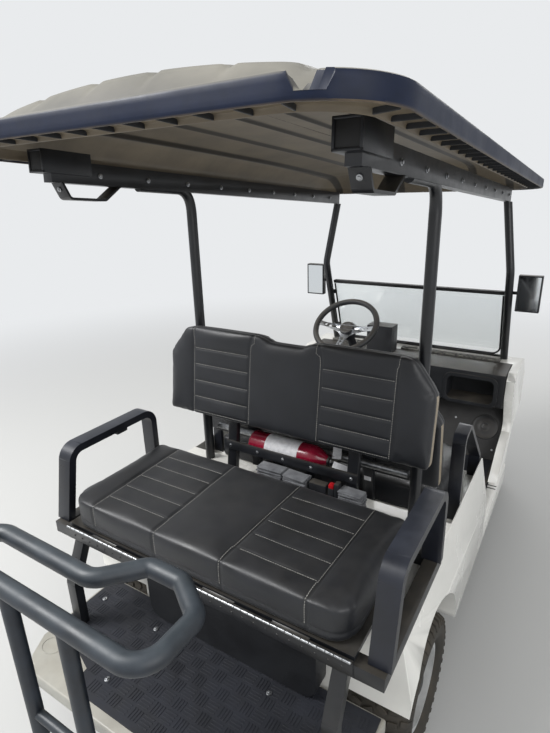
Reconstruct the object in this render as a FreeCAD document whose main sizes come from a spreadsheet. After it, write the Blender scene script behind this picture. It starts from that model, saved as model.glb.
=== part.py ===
# Four-seat golf cart with a flip-up rear bench, a moulded canopy and a folded clear windscreen.
# Frame: +Z up, -Y is the way the cart drives, +X is the driver's side. The origin is on the
# ground, midway between the front bumper and the rear grab bar. All lengths are millimetres.

import FreeCAD, Part
import math
import os
import Sketcher

SHEET = "Sizes"

# alias, value, what it measures
CELLS = [
    ("wheelBase", 1664, "front axle to rear axle"),
    ("frontOverhang", 400, "front axle to the bumper's nose"),
    ("rearOverhang", 856, "rear axle to the back of the grab bar"),
    ("frontTrack", 880, "between the front tyres' centre planes"),
    ("rearTrack", 978, "between the rear tyres' centre planes"),
    ("tyreRadius", 230, "18 inch tyre"),
    ("tyreWidth", 205, "tyre section width"),
    ("tyreCrown", 14, "drop of the tread towards its shoulders"),
    ("rimRadius", 127, "10 inch rim seat"),
    ("rimWidth", 170, "rim between its flanges"),
    ("rimWall", 6, "thickness of the rim and its disc"),
    ("rimFlange", 9, "height of the rim's flange"),
    ("rimHoles", 8, "vent slots in the wheel disc"),
    ("hubRadius", 44, "outside of a wheel hub"),
    ("spindleRadius", 14, "stub axle in the wheel hub"),
    ("runningFit", 0.05, "radial clearance of a turning fit"),
    ("seatGap", 0.3, "gap between pieces that lie against each other"),
    ("moveGap", 6, "least room left between moving pieces"),
    ("railSpacing", 340, "between the centres of the two chassis rails"),
    ("railWidth", 60, "chassis rail width"),
    ("railHeight", 80, "chassis rail height"),
    ("railBottom", 270, "underside of the rails above the ground"),
    ("crossWidth", 70, "chassis cross member, along the cart"),
    ("railNoseGap", 90, "bumper's nose to the rails' front end"),
    ("railTail", 560, "rear axle to the rails' rear end"),
    ("towerHeight", 120, "shock towers above the rails"),
    ("towerWidth", 50, "shock tower, along the cart"),
    ("towerReach", 95, "shock tab, outwards from the rail"),
    ("tabThickness", 10, "steel tabs and brackets"),
    ("axleRadius", 26, "axle tubes"),
    ("padHeight", 42, "top of the spring pads above the axle's centre"),
    ("shockRadius", 24, "shock absorber body"),
    ("kingpinOffset", 140, "kingpin inboard of the front tyre's centre plane"),
    ("kingpinRadius", 10, "kingpin"),
    ("eyeRadius", 20, "axle end eye round the kingpin"),
    ("eyeHeight", 64, "axle end eye"),
    ("forkPlate", 16, "knuckle fork plates above and below the eye"),
    ("steerArm", 120, "kingpin to the tie rod's ball"),
    ("tieRodRadius", 9, "tie rod"),
    ("springWidth", 50, "rear leaf spring width"),
    ("springThickness", 24, "rear leaf pack thickness"),
    ("springHalf", 300, "half the length of a rear leaf spring"),
    ("motorLength", 330, "drive motor block, along the cart"),
    ("motorWidth", 240, "drive motor block, across the cart"),
    ("motorHeight", 220, "drive motor block, height"),
    ("bodyWall", 6, "moulded body panels"),
    ("bodyHalfWidth", 600, "half the width over the fenders"),
    ("sillBottom", 262, "underside of the sills above the ground"),
    ("floorThickness", 12, "floor panel"),
    ("toeBoardBack", 312, "front axle to the foot of the toe board"),
    ("archRadius", 300, "rear wheel arches"),
    ("frontArchRadius", 316, "front wheel arches, which clear the steered tyres"),
    ("seatBoxAhead", 780, "rear axle to the front of the seat box"),
    ("seatBoxTop", 590, "front seat deck above the ground"),
    ("deckFront", 275, "rear axle to the front edge of the rear deck"),
    ("deckBack", 250, "rear axle to the back face of the rear body"),
    ("deckInset", 37, "how far the body's sides lean in towards the deck"),
    ("frameTube", 40, "square tube of the seat and roof frames"),
    ("rearSeatEdge", 419, "rear axle to the outer edge of the rear seat frame"),
    ("rearSeatHalf", 505, "half the width of the rear seat's opening between the armrests"),
    ("rearFrameTop", 706, "top of the rear seat frame above the ground"),
    ("hingeRadius", 8, "piano hinge knuckles"),
    ("rearPanel", 14, "board under the rear seat cushion"),
    ("rearCushionDepth", 440, "rear seat cushion, along the cart"),
    ("rearCushionHeight", 112, "rear seat cushion, thickness"),
    ("armTop", 958, "top of the rear armrests above the ground"),
    ("armWidth", 56, "rear armrest band, across the cart"),
    ("armThickness", 26, "rear armrest band, in the plane of its loop"),
    ("armFront", 25, "rear axle to the rear armrest's forward leg"),
    ("hipTop", 938, "top of the side loops beside the front seat above the ground"),
    ("hipWidth", 44, "side loop band, across the cart"),
    ("hipThickness", 16, "side loop band, in the plane of its loop"),
    ("hipInset", 24, "side loops inboard of the body's side rims"),
    ("backWidth", 1030, "rear backrest width"),
    ("shoulderDrop", 105, "fall of a backrest's sloping shoulders"),
    ("shoulderRun", 88, "width of a backrest's sloping shoulders"),
    ("backDip", 20, "depth of the dip between a backrest's two humps"),
    ("backHeight", 345, "rear backrest height"),
    ("backThickness", 70, "rear backrest thickness"),
    ("backBottom", 935, "rear backrest's lower edge above the ground"),
    ("backAhead", 91, "rear axle to the rear backrest's lower edge, forwards"),
    ("backLean", 7.6, "lean of the backrests, degrees"),
    ("strutRadius", 19, "roof strut tube"),
    ("strutAhead", 236, "rear roof strut ahead of the rear axle"),
    ("rearStrutHalf", 440, "half the distance between the rear roof struts"),
    ("frontStrutHalf", 495, "half the distance between the front roof struts"),
    ("frontStrutTopHalf", 440, "the same at the roof"),
    ("canopyWidth", 1176, "canopy width"),
    ("canopyLength", 2180, "canopy length"),
    ("canopyWall", 7, "moulded canopy skin"),
    ("canopyEdge", 40, "height of the canopy's outer rim"),
    ("canopyGutter", 14, "floor of the gutter inside the rim, above the rim's underside"),
    ("gutterWidth", 39, "gutter between the rim and the crown"),
    ("canopyRise", 125, "crown of the canopy above its gutter"),
    ("canopyCorner", 150, "canopy corner radius in plan"),
    ("canopyTail", 598, "rear axle to the canopy's rear edge"),
    ("canopyUnder", 1849, "underside of the canopy rim at its rear edge, above the ground"),
    ("canopyPitch", 3.75, "nose-down pitch of the canopy, degrees"),
    ("railDrop", 55, "underside of the roof rails below the canopy's rim"),
    ("roofRail", 34, "width of the roof rails"),
    ("roofRailTop", 3, "top of the roof rails above the canopy's rim"),
    ("cushionInset", 55, "front cushion's ends inboard of the body's side rims"),
    ("cushionGap", 3, "rear cushion's ends inboard of the armrests' opening"),
    ("frontCushionDepth", 430, "front seat cushion, along the cart"),
    ("frontCushionHeight", 110, "front seat cushion thickness"),
    ("frontSeatAhead", 372, "front seat back's lower face ahead of the rear axle"),
    ("frontBackBottom", 745, "front backrest's lower edge above the ground"),
    ("frontBackHeight", 370, "front backrest height"),
    ("footThickness", 46, "rear footplate moulding"),
    ("footHalf", 540, "half the width of the rear footplate"),
    ("footTail", 670, "rear axle to the footplate's rear edge"),
    ("footCorner", 110, "chamfer of the footplate's rear corners"),
    ("matThickness", 4, "rubber tread mats"),
    ("grabTop", 985, "centre of the grab bar's top loop above the ground"),
    ("grabHalf", 300, "half the width of the grab bar's top loop"),
    ("grabPost", 95, "half the distance between the grab bar's posts"),
    ("grabRadius", 17, "grab bar post tube"),
    ("loopRadius", 21, "grab bar's sleeved loop tube"),
    ("loopWidth", 106, "grab bar's loop, between its two long tubes"),
    ("loopSwell", 89, "how far the loop's right end swells towards the seat"),
    ("cowlNoseTop", 640, "top of the front cowl's nose above the ground"),
    ("cowlTop", 845, "top of the cowl at the windscreen above the ground"),
    ("cowlBack", 130, "front axle to the windscreen's foot"),
    ("cowlNoseHalf", 430, "half the width of the cowl at its nose"),
    ("dashDepth", 195, "dashboard, along the cart"),
    ("dashBottom", 640, "lower edge of the dashboard above the ground"),
    ("dashInset", 52, "dashboard's ends inboard of the body's sides"),
    ("cubbyX", 385, "passenger's open glove box from the centre line"),
    ("cubbyWidth", 236, "passenger's glove box, across the cart"),
    ("binX", 400, "driver's open bin from the centre line"),
    ("binWidth", 190, "driver's bin, across the cart"),
    ("cubbyHeight", 130, "open glove box, height"),
    ("cubbyDepth", 140, "open glove box, depth"),
    ("screenHalf", 478, "half the width of the windscreen"),
    ("screenHeight", 350, "one half of the folding windscreen"),
    ("screenThickness", 5, "clear windscreen sheet"),
    ("screenLean", 18, "lean of the windscreen, degrees"),
    ("wheelRimRadius", 165, "steering wheel to the centre of its rim"),
    ("wheelRimTube", 15, "steering wheel rim section radius"),
    ("steerX", 240, "steering wheel's centre from the cart's centre line"),
    ("steerZ", 1050, "steering wheel's centre above the ground"),
    ("steerBack", 493, "front axle to the steering wheel's centre"),
    ("steerLean", 38, "steering column's slope, degrees above level"),
    ("columnRadius", 22, "steering column tube"),
    ("mirrorWidth", 108, "mirror head width"),
    ("mirrorHeight", 180, "mirror head height"),
    ("mirrorZ", 1225, "mirror head's centre above the ground"),
]


class Size(float):
    """A length that remembers the spreadsheet expression it was worked out with."""

    def __new__(cls, value, text):
        size = float.__new__(cls, value)
        size.text = text
        return size

    def __add__(self, other):
        return Size(float(self) + float(other), f"({self.text} + {text_of(other)})")

    def __radd__(self, other):
        return Size(float(other) + float(self), f"({text_of(other)} + {self.text})")

    def __sub__(self, other):
        return Size(float(self) - float(other), f"({self.text} - {text_of(other)})")

    def __rsub__(self, other):
        return Size(float(other) - float(self), f"({text_of(other)} - {self.text})")

    def __mul__(self, other):
        return Size(float(self) * float(other), f"({self.text} * {text_of(other)})")

    def __rmul__(self, other):
        return Size(float(other) * float(self), f"({text_of(other)} * {self.text})")

    def __truediv__(self, other):
        return Size(float(self) / float(other), f"({self.text} / {text_of(other)})")

    def __neg__(self):
        return Size(-float(self), f"(-1 * {self.text})")


def text_of(value):
    return value.text if isinstance(value, Size) else f"({float(value):.6g})"


def sine(angle):
    return Size(math.sin(math.radians(angle)), f"sin({text_of(angle)})")


def cosine(angle):
    return Size(math.cos(math.radians(angle)), f"cos({text_of(angle)})")


doc = FreeCAD.newDocument("GolfCart")
sheet = doc.addObject("Spreadsheet::Sheet", SHEET)


class Cells:
    """The sizes by name, read back from the spreadsheet."""


S = Cells()
for row, (alias, number, meaning) in enumerate(CELLS, start=1):
    sheet.set(f"A{row}", meaning)
    sheet.set(f"B{row}", str(number))
    sheet.setAlias(f"B{row}", alias)
doc.recompute()
for alias, number, meaning in CELLS:
    setattr(S, alias, Size(float(sheet.get(alias)), f"{SHEET}.{alias}"))

V = FreeCAD.Vector
ALONG_X = FreeCAD.Rotation(V(0, 1, 0), 90)
ALONG_Y = FreeCAD.Rotation(V(1, 0, 0), -90)
UPRIGHT = FreeCAD.Rotation()
TURNS = {"X": ALONG_X, "Y": ALONG_Y, "Z": UPRIGHT}
pieces = []  # every finished sub-part, in the order it is made


def node(obj, label):
    """Marks an object as a finished sub-part."""
    obj.Label = label
    pieces.append(obj)
    return obj


def bind(obj, prop, value):
    if isinstance(value, Size):
        obj.setExpression(prop, value.text)
    else:
        obj.setExpression(prop, text_of(value))


def place(obj, x=0.0, y=0.0, z=0.0, turn=UPRIGHT):
    obj.Placement = FreeCAD.Placement(V(float(x), float(y), float(z)), turn)
    for axis, value in zip("xyz", (x, y, z)):
        if isinstance(value, Size):
            bind(obj, f"Placement.Base.{axis}", value)
    return obj


def block(name, low, high):
    """A box between two corners."""
    obj = doc.addObject("Part::Box", name)
    for prop, a, b in zip(("Length", "Width", "Height"), low, high):
        bind(obj, prop, b - a)
    return place(obj, *low)


def rod(name, foot, axis, length, radius):
    """A round bar that starts at foot and runs along +X, +Y or +Z."""
    obj = doc.addObject("Part::Cylinder", name)
    bind(obj, "Height", length)
    bind(obj, "Radius", radius)
    return place(obj, *foot, turn=TURNS[axis])


def fused(name, *parts):
    obj = doc.addObject("Part::MultiFuse", name)
    obj.Shapes = list(parts)
    obj.Refine = True
    return obj


def cut(name, base, *tools):
    obj = doc.addObject("Part::Cut", name)
    obj.Base = base
    obj.Tool = tools[0] if len(tools) == 1 else fused(name + "Tools", *tools)
    obj.Refine = True
    return obj


def mirrored(name, source):
    """The same piece on the other side of the cart's centre line."""
    obj = doc.addObject("Part::Mirroring", name)
    obj.Source = source
    obj.Normal = V(1, 0, 0)
    return obj


def pair(name, left):
    """A piece and its mirror image as one object of separate solids."""
    obj = doc.addObject("Part::Compound", name)
    obj.Links = [left, mirrored(name + "Right", left)]
    return obj


def together(name, parts):
    """Separate solids of one kind as a single object."""
    obj = doc.addObject("Part::Compound", name)
    obj.Links = parts
    return obj


def new_body(name):
    return doc.addObject("PartDesign::Body", name)


def origin_plane(body, role):
    return next(f for f in body.Origin.OriginFeatures if f.Role == role + "_Plane")


def sketch(body, name, plane, outlines, offset=0.0):
    """Closed outlines of straight edges on one of the body's planes, every corner bound to the sheet."""
    sk = body.newObject("Sketcher::SketchObject", name)
    sk.AttachmentSupport = [(origin_plane(body, plane), "")]
    sk.MapMode = "FlatFace"
    if isinstance(offset, Size):
        bind(sk, "AttachmentOffset.Base.z", offset)
    else:
        sk.AttachmentOffset = FreeCAD.Placement(V(0, 0, float(offset)), UPRIGHT)
    for outline in outlines:
        first = sk.GeometryCount
        count = len(outline)
        corners = [V(float(x), float(y), 0) for x, y in outline]
        for i in range(count):
            sk.addGeometry(Part.LineSegment(corners[i], corners[(i + 1) % count]), False)
        for i in range(count):
            following = first + (i + 1) % count
            sk.addConstraint(Sketcher.Constraint("Coincident", first + i, 2, following, 1))
        for i, (x, y) in enumerate(outline):
            for kind, value in (("DistanceX", x), ("DistanceY", y)):
                index = sk.addConstraint(Sketcher.Constraint(kind, -1, 1, first + i, 1, float(value)))
                if isinstance(value, Size):
                    bind(sk, f"Constraints[{index}]", value)
    return sk


def pad(body, sk, length, both=False, back=False):
    """A pad of a sketch: both ways by half the length each, or one way."""
    obj = body.newObject("PartDesign::Pad", sk.Name + "Pad")
    obj.Profile = sk
    bind(obj, "Length", length)
    if both:
        obj.SideType = "Symmetric"
    obj.Reversed = back
    return obj


def revolve(body, sk, axis="H_Axis"):
    obj = body.newObject("PartDesign::Revolution", sk.Name + "Turned")
    obj.Profile = sk
    obj.ReferenceAxis = (sk, [axis])
    obj.Angle = 360
    return obj


def edges_where(shape, test):
    return [f"Edge{i}" for i, e in enumerate(shape.Edges, start=1) if test(e)]


def round_edges(body, feature, test, radius, name):
    """A fillet on the edges of a feature that pass a test."""
    doc.recompute()
    obj = body.newObject("PartDesign::Fillet", name)
    obj.Base = (feature, edges_where(feature.Shape, test))
    bind(obj, "Radius", radius)
    return obj


def shaped(label, shape):
    """A sub-part whose shape is worked out here from the sheet's sizes."""
    obj = doc.addObject("Part::Feature", label)
    obj.Shape = shape
    return obj


def rounded_path(points, bend, closed=False):
    """Straight runs joined by tangent arcs, as a bent tube is made."""
    points = [V(*p) for p in points]
    count = len(points)
    edges = []
    starts = []
    ends = []
    for i, corner in enumerate(points):
        if not closed and i in (0, count - 1):
            starts.append(corner)
            ends.append(corner)
            continue
        back = (points[i - 1] - corner).normalize()
        ahead = (points[(i + 1) % count] - corner).normalize()
        half = back.getAngle(ahead) / 2
        radius = bend[i] if isinstance(bend, (list, tuple)) else bend
        reach = radius / math.tan(half)
        enter = corner + back * reach
        leave = corner + ahead * reach
        middle = (back + ahead).normalize()
        apex = corner + middle * (radius / math.sin(half) - radius)
        starts.append(enter)
        ends.append(leave)
        edges.append((i, Part.Arc(enter, apex, leave).toShape()))
    arcs = dict(edges)
    path = []
    for i in range(count if closed else count - 1):
        following = (i + 1) % count
        if i in arcs:
            path.append(arcs[i])
        if ends[i].distanceToPoint(starts[following]) > 1e-6:
            path.append(Part.LineSegment(ends[i], starts[following]).toShape())
    return Part.Wire(path)


def swept(path, section):
    return path.makePipeShell([section], True, False)


def tube_shape(points, radius, bend, closed=False):
    """A round bar bent along a line of points."""
    path = rounded_path(points, bend, closed)
    start = path.Edges[0].valueAt(path.Edges[0].FirstParameter)
    tangent = path.Edges[0].tangentAt(path.Edges[0].FirstParameter)
    section = Part.Wire([Part.makeCircle(float(radius), start, tangent)])
    return swept(path, section)


def band_shape(points, bend, width, thickness):
    """A flat band in an upright plane along the cart; its width is across the cart."""
    path = rounded_path(points, bend)
    start = path.Edges[0].valueAt(path.Edges[0].FirstParameter)
    tangent = path.Edges[0].tangentAt(path.Edges[0].FirstParameter)
    across = V(1, 0, 0)
    normal = tangent.cross(across)
    corners = [
        start + across * (a * float(width) / 2) + normal * (b * float(thickness) / 2)
        for a, b in ((-1, -1), (1, -1), (1, 1), (-1, 1))
    ]
    return swept(path, Part.makePolygon(corners + corners[:1]))


def mirror_shape(shape):
    return shape.mirror(V(0, 0, 0), V(1, 0, 0))


def both_sides(shape):
    return Part.makeCompound([shape, mirror_shape(shape)])


def make_block(low, high):
    size = [float(b) - float(a) for a, b in zip(low, high)]
    return Part.makeBox(*size, V(*[float(a) for a in low]))


# Where the main pieces lie along the cart, and the heights that several pieces share.
length = S.frontOverhang + S.wheelBase + S.rearOverhang
noseY = length / -2
yFront = noseY + S.frontOverhang
yRear = yFront + S.wheelBase
railTop = S.railBottom + S.railHeight
floorTop = railTop + S.floorThickness
railOuter = S.railSpacing / 2 + S.railWidth / 2
railInner = S.railSpacing / 2 - S.railWidth / 2
railTailY = yRear + S.railTail
deckTop = S.rearFrameTop - S.frameTube
seatBoxY = yRear - S.seatBoxAhead
deckFrontY = yRear - S.deckFront
deckBackY = yRear + S.deckBack
kingpinX = S.frontTrack / 2 - S.kingpinOffset
toeY = yFront + S.toeBoardBack
dashFrontY = yFront + S.cowlBack
dashBackY = dashFrontY + S.dashDepth


def chassis_frame():
    """The ladder of rails and cross members, the shock towers and the spring hangers. It is the root."""
    parts = []
    rail = block("Rail", (railInner, noseY + S.railNoseGap, S.railBottom), (railOuter, railTailY, railTop))
    parts += [rail, mirrored("RailRight", rail)]
    starts = (
        noseY + S.railNoseGap,
        yFront + S.steerArm + 30,
        seatBoxY + 20,
        yRear - S.motorLength / 2,
        yRear + S.motorLength / 2 - S.crossWidth,
        railTailY - S.crossWidth,
    )
    for number, start in enumerate(starts, start=1):
        low = (-railInner, start, S.railBottom)
        high = (railInner, start + S.crossWidth, railTop)
        parts.append(block(f"Cross{number}", low, high))
    postIn = S.railSpacing / 2 - S.towerWidth / 2
    postOut = S.railSpacing / 2 + S.towerWidth / 2
    for name, y, tabIn, tabOut in (
        ("Front", yFront, frontShockX - S.shockRadius - 6, postOut),
        ("Rear", yRear, postIn, rearShockX + S.shockRadius + 6),
    ):
        low = (postIn, y - S.towerWidth / 2, railTop)
        post = block(f"{name}Post", low, (postOut, y + S.towerWidth / 2, towerTop))
        low = (tabIn, y - S.towerWidth / 2, towerTop)
        tab = block(f"{name}Tab", low, (tabOut, y + S.towerWidth / 2, towerTop + S.tabThickness))
        for part in (post, tab):
            parts += [part, mirrored(part.Name + "Right", part)]
    for name, y in (("Ahead", yRear - S.springHalf), ("Behind", yRear + S.springHalf - 40)):
        low = (railOuter, y, springTop)
        hanger = block(f"Hanger{name}", low, (rearShockX + S.springWidth / 2, y + 40, railTop))
        parts += [hanger, mirrored(hanger.Name + "Right", hanger)]
    node(fused("ChassisFused", *parts), "chassis_frame")


def motor_block():
    low = (S.motorWidth / -2, yRear - S.motorLength / 2, railTop)
    high = (S.motorWidth / 2, yRear + S.motorLength / 2, railTop + S.motorHeight)
    node(block("Motor", low, high), "motor_block")


def shock_absorbers():
    """Coil-over units between the axles' pads and the tower tabs, as plain bodies with a shaft."""
    base = S.tyreRadius + S.padHeight
    height = towerTop - base
    units = []
    for name, x, y in (("Front", frontShockX, yFront), ("Rear", rearShockX, yRear)):
        body = rod(name + "Spring", (x, y, base + 14), "Z", height - 28, S.shockRadius)
        low = rod(name + "Foot", (x, y, base), "Z", 14, S.shockRadius * 0.6)
        top = rod(name + "Head", (x, y, towerTop - 14), "Z", 14, S.shockRadius * 0.6)
        unit = fused(name + "Unit", body, low, top)
        units += [unit, mirrored(name + "UnitRight", unit)]
    node(together("ShockSet", units), "shock_absorbers")


def rear_leaf_springs():
    leaf = S.springThickness / 3
    leaves = []
    for number, share in enumerate((1, 0.72, 0.42)):
        reach = S.springHalf * share
        top = springTop - leaf * number
        low = (rearShockX - S.springWidth / 2, yRear - reach, top - leaf)
        leaves.append(block(f"Leaf{number}", low, (rearShockX + S.springWidth / 2, yRear + reach, top)))
    node(pair("LeafSprings", fused("LeafPack", *leaves)), "rear_leaf_springs")


def axle_pad(name, x, y):
    half = S.shockRadius + 6
    low = (x - half, y - half, S.tyreRadius - S.padHeight)
    part = block(name, low, (x + half, y + half, S.tyreRadius + S.padHeight))
    return [part, mirrored(name + "Right", part)]


def rear_axle():
    """The axle tube with its differential, brake drums, spring pads and the spindles the wheels turn on."""
    hubFace = S.rearTrack / 2 - hubInner
    tube = hubFace - S.moveGap
    tip = S.rearTrack / 2 + hubBore - S.moveGap
    parts = [
        rod("AxleTube", (-tube, yRear, S.tyreRadius), "X", tube * 2, S.axleRadius + 6),
        rod("AxleSpindles", (-tip, yRear, S.tyreRadius), "X", tip * 2, S.spindleRadius),
        rod("Differential", (-100, yRear, S.tyreRadius), "X", 200, 92),
    ]
    drum = rod("Drum", (tube - 34, yRear, S.tyreRadius), "X", 34, 84)
    parts += [drum, mirrored("DrumRight", drum)] + axle_pad("RearPad", rearShockX, yRear)
    node(fused("RearAxleFused", *parts), "rear_axle")


def front_axle_beam():
    """The beam with an upright eye at each end, and the kingpins fixed in the eyes."""
    parts = [rod("Beam", (-kingpinX, yFront, S.tyreRadius), "X", kingpinX * 2, S.axleRadius)]
    eyeLow = S.tyreRadius - S.eyeHeight / 2
    pinReach = S.moveGap + S.forkPlate + 3
    eye = rod("KingpinEye", (kingpinX, yFront, eyeLow), "Z", S.eyeHeight, S.eyeRadius + 6)
    low = (kingpinX, yFront, eyeLow - pinReach)
    pin = rod("Kingpin", low, "Z", S.eyeHeight + pinReach * 2, S.kingpinRadius)
    for part in (eye, pin):
        parts += [part, mirrored(part.Name + "Right", part)]
    parts += axle_pad("FrontPad", frontShockX, yFront)
    node(fused("FrontAxleFused", *parts), "front_axle_beam")


def knuckle(side, sign):
    """A fork round the axle's eye, the spindle of the front wheel and the steering arm behind it."""
    name = f"Knuckle{side.title()}"
    eyeTop = S.tyreRadius + S.eyeHeight / 2
    plateHalf = S.eyeHeight / 2 + S.moveGap + S.forkPlate
    webX = kingpinX + S.eyeRadius + 6 + S.moveGap
    parts = []
    for place_name, z in (("Upper", eyeTop + S.moveGap), ("Lower", S.tyreRadius - plateHalf)):
        parts.append(rod(name + place_name, (kingpinX, yFront, z), "Z", S.forkPlate, S.eyeRadius + 10))
        low = (kingpinX, yFront - 26, z)
        parts.append(block(name + place_name + "Arm", low, (webX + 14, yFront + 26, z + S.forkPlate)))
    low = (webX, yFront - 26, S.tyreRadius - plateHalf)
    parts.append(block(name + "Web", low, (webX + 14, yFront + 26, S.tyreRadius + plateHalf)))
    collar = S.frontTrack / 2 - hubInner - S.moveGap
    tip = S.frontTrack / 2 + hubBore - S.moveGap
    start = (webX, yFront, S.tyreRadius)
    parts.append(rod(name + "Collar", start, "X", collar - webX, S.spindleRadius + 10))
    parts.append(rod(name + "Spindle", start, "X", tip - webX, S.spindleRadius))
    armLow = S.tyreRadius - plateHalf
    low = (kingpinX - 13, yFront, armLow)
    parts.append(block(name + "SteerArm", low, (kingpinX + 13, yFront + S.steerArm, armLow + S.forkPlate)))
    parts.append(rod(name + "ArmEye", (kingpinX, yFront + S.steerArm, armLow), "Z", S.forkPlate, 19))
    bores = []
    armY = yFront + S.steerArm
    for bore_name, y, radius in (("Bore", yFront, S.kingpinRadius), ("ArmBore", armY, 8 * one)):
        low = (kingpinX, y, armLow - 5)
        bores.append(rod(name + bore_name, low, "Z", plateHalf * 2 + 10, radius + S.runningFit))
    left = cut(name + "Bored", fused(name + "Fused", *parts), *bores)
    node(left if sign > 0 else mirrored(name + "Mirrored", left), f"knuckle_{side}")


def tie_rod():
    """The rod between the steering arms, with an upright pin in each arm's bore."""
    y = yFront + S.steerArm
    armLow = S.tyreRadius - S.eyeHeight / 2 - S.moveGap - S.forkPlate
    z = armLow - S.moveGap - S.tieRodRadius
    barEnd = kingpinX - 5
    parts = [rod("TieBar", (-barEnd, y, z), "X", barEnd * 2, S.tieRodRadius)]
    pin = rod("TiePin", (kingpinX, y, z), "Z", armLow + S.forkPlate + 2 - z, 8)
    ball = rod("TieEnd", (kingpinX, y, z - S.tieRodRadius - 3), "Z", S.tieRodRadius * 2 + 2.5, 15)
    for part in (pin, ball):
        parts += [part, mirrored(part.Name + "Right", part)]
    node(fused("TieRodFused", *parts), "tie_rod")


def turned_wheel_part(name, outline, label, x, y, sign):
    """A body turned about the wheel's own axis, its outer side away from the cart."""
    body = new_body(name)
    revolve(body, sketch(body, name + "Profile", "XY", [outline]))
    turn = UPRIGHT if sign > 0 else FreeCAD.Rotation(V(0, 0, 1), 180)
    place(body, x * sign, y, S.tyreRadius, turn)
    return body


def wheel(side, x, y, sign):
    """A steel rim with its hub and the tyre on it."""
    name = side.title().replace("_", "")
    half = S.rimWidth / 2
    inside = S.rimRadius - S.rimWall
    lip = S.rimRadius + S.rimFlange
    bore = S.spindleRadius + S.runningFit
    rim = [
        (-half, inside), (-half, lip), (-half + S.rimWall, lip), (-half + S.rimWall, S.rimRadius),
        (half - S.rimWall, S.rimRadius), (half - S.rimWall, lip), (half, lip), (half, inside),
        (discX + 8, inside), (discX + 8, S.hubRadius), (hubBore + 10, S.hubRadius), (hubBore + 10, 0 * one),
        (hubBore, 0 * one), (hubBore, bore), (-hubInner, bore), (-hubInner, S.hubRadius),
        (discX, S.hubRadius), (discX, inside),
    ]
    rimBody = turned_wheel_part(f"Rim{name}", rim, f"rim_{side}", x, y, sign)
    holes = []
    ring = (inside + S.hubRadius) / 2
    for number in range(int(S.rimHoles)):
        angle = 2 * math.pi * number / int(S.rimHoles)
        foot = (x * sign + (discX - 5) * sign - (0 if sign > 0 else 18),
                y + ring * math.cos(angle), S.tyreRadius + ring * math.sin(angle))
        holes.append(rod(f"Rim{name}Hole{number}", foot, "X", 18, 14))
    node(cut(f"Rim{name}Drilled", rimBody, *holes), f"rim_{side}")
    bead = half - S.rimWall
    wide = S.tyreWidth / 2
    shoulder = S.tyreRadius - S.tyreCrown
    right = [
        (bead, S.rimRadius), (bead, lip + 1), (half + 8, lip + 14), (wide, lip + 38),
        (wide, shoulder - 20), (wide - 6, shoulder), (wide - 30, S.tyreRadius),
    ]
    tyre = right + [(-a, b) for a, b in reversed(right)]
    node(turned_wheel_part(f"Tyre{name}", tyre, f"tyre_{side}", x, y, sign), f"tyre_{side}")


def lean(z, base, y, angle):
    """How far back a leaning line lies at a height."""
    return y + (z - base) * (sine(angle) / cosine(angle))


def leaning_panel(name, y, low, high, thickness, half, angle):
    """A flat panel across the cart that leans back; y is its rear face at the low edge."""
    body = new_body(name)
    back = lean(high, low, y, angle)
    outline = [(y - thickness, low), (y, low), (back, high), (back - thickness, high)]
    pad(body, sketch(body, name + "Side", "YZ", [outline]), half * 2, both=True)
    return body


def floor_pan():
    """The floor between the sills, the mats on it and on the footplate, and the white sills beside it."""
    low = (-(S.bodyHalfWidth - 48), toeY, railTop)
    node(block("Floor", low, (S.bodyHalfWidth - 48, seatBoxY, floorTop)), "floor_pan")
    low = (-(S.bodyHalfWidth - 64), toeY + 12, floorTop)
    mat = block("Mat", low, (S.bodyHalfWidth - 64, seatBoxY - 12, floorTop + S.matThickness))
    low = (-(S.footHalf - 120), footFrontY + 20, footTop)
    footMat = block("FootMat", low, (S.footHalf - 120, yRear + S.footTail - 30, footTop + S.matThickness))
    node(together("Mats", [mat, footMat]), "rubber_mats")
    low = (S.bodyHalfWidth - 44, toeY + 6, S.sillBottom)
    sill = block("Sill", low, (S.bodyHalfWidth, seatBoxY - S.seatGap, sillTop))
    node(pair("Sills", sill), "sill_panels")


def body_section(name, inset, low, front, back):
    """The rear body's cross-section, wider below than at the deck, run along the cart."""
    half = S.bodyHalfWidth - inset
    top = deckTop - inset
    flare = deckTop - 196
    outline = [
        (-half, low), (half, low), (half, flare - inset), (half - S.deckInset, top),
        (-(half - S.deckInset), top), (-half, flare - inset),
    ]
    body = new_body(name)
    sk = sketch(body, name + "Section", "XZ", [outline], offset=-front)
    pad(body, sk, back - front, back=True)
    return body


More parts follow.
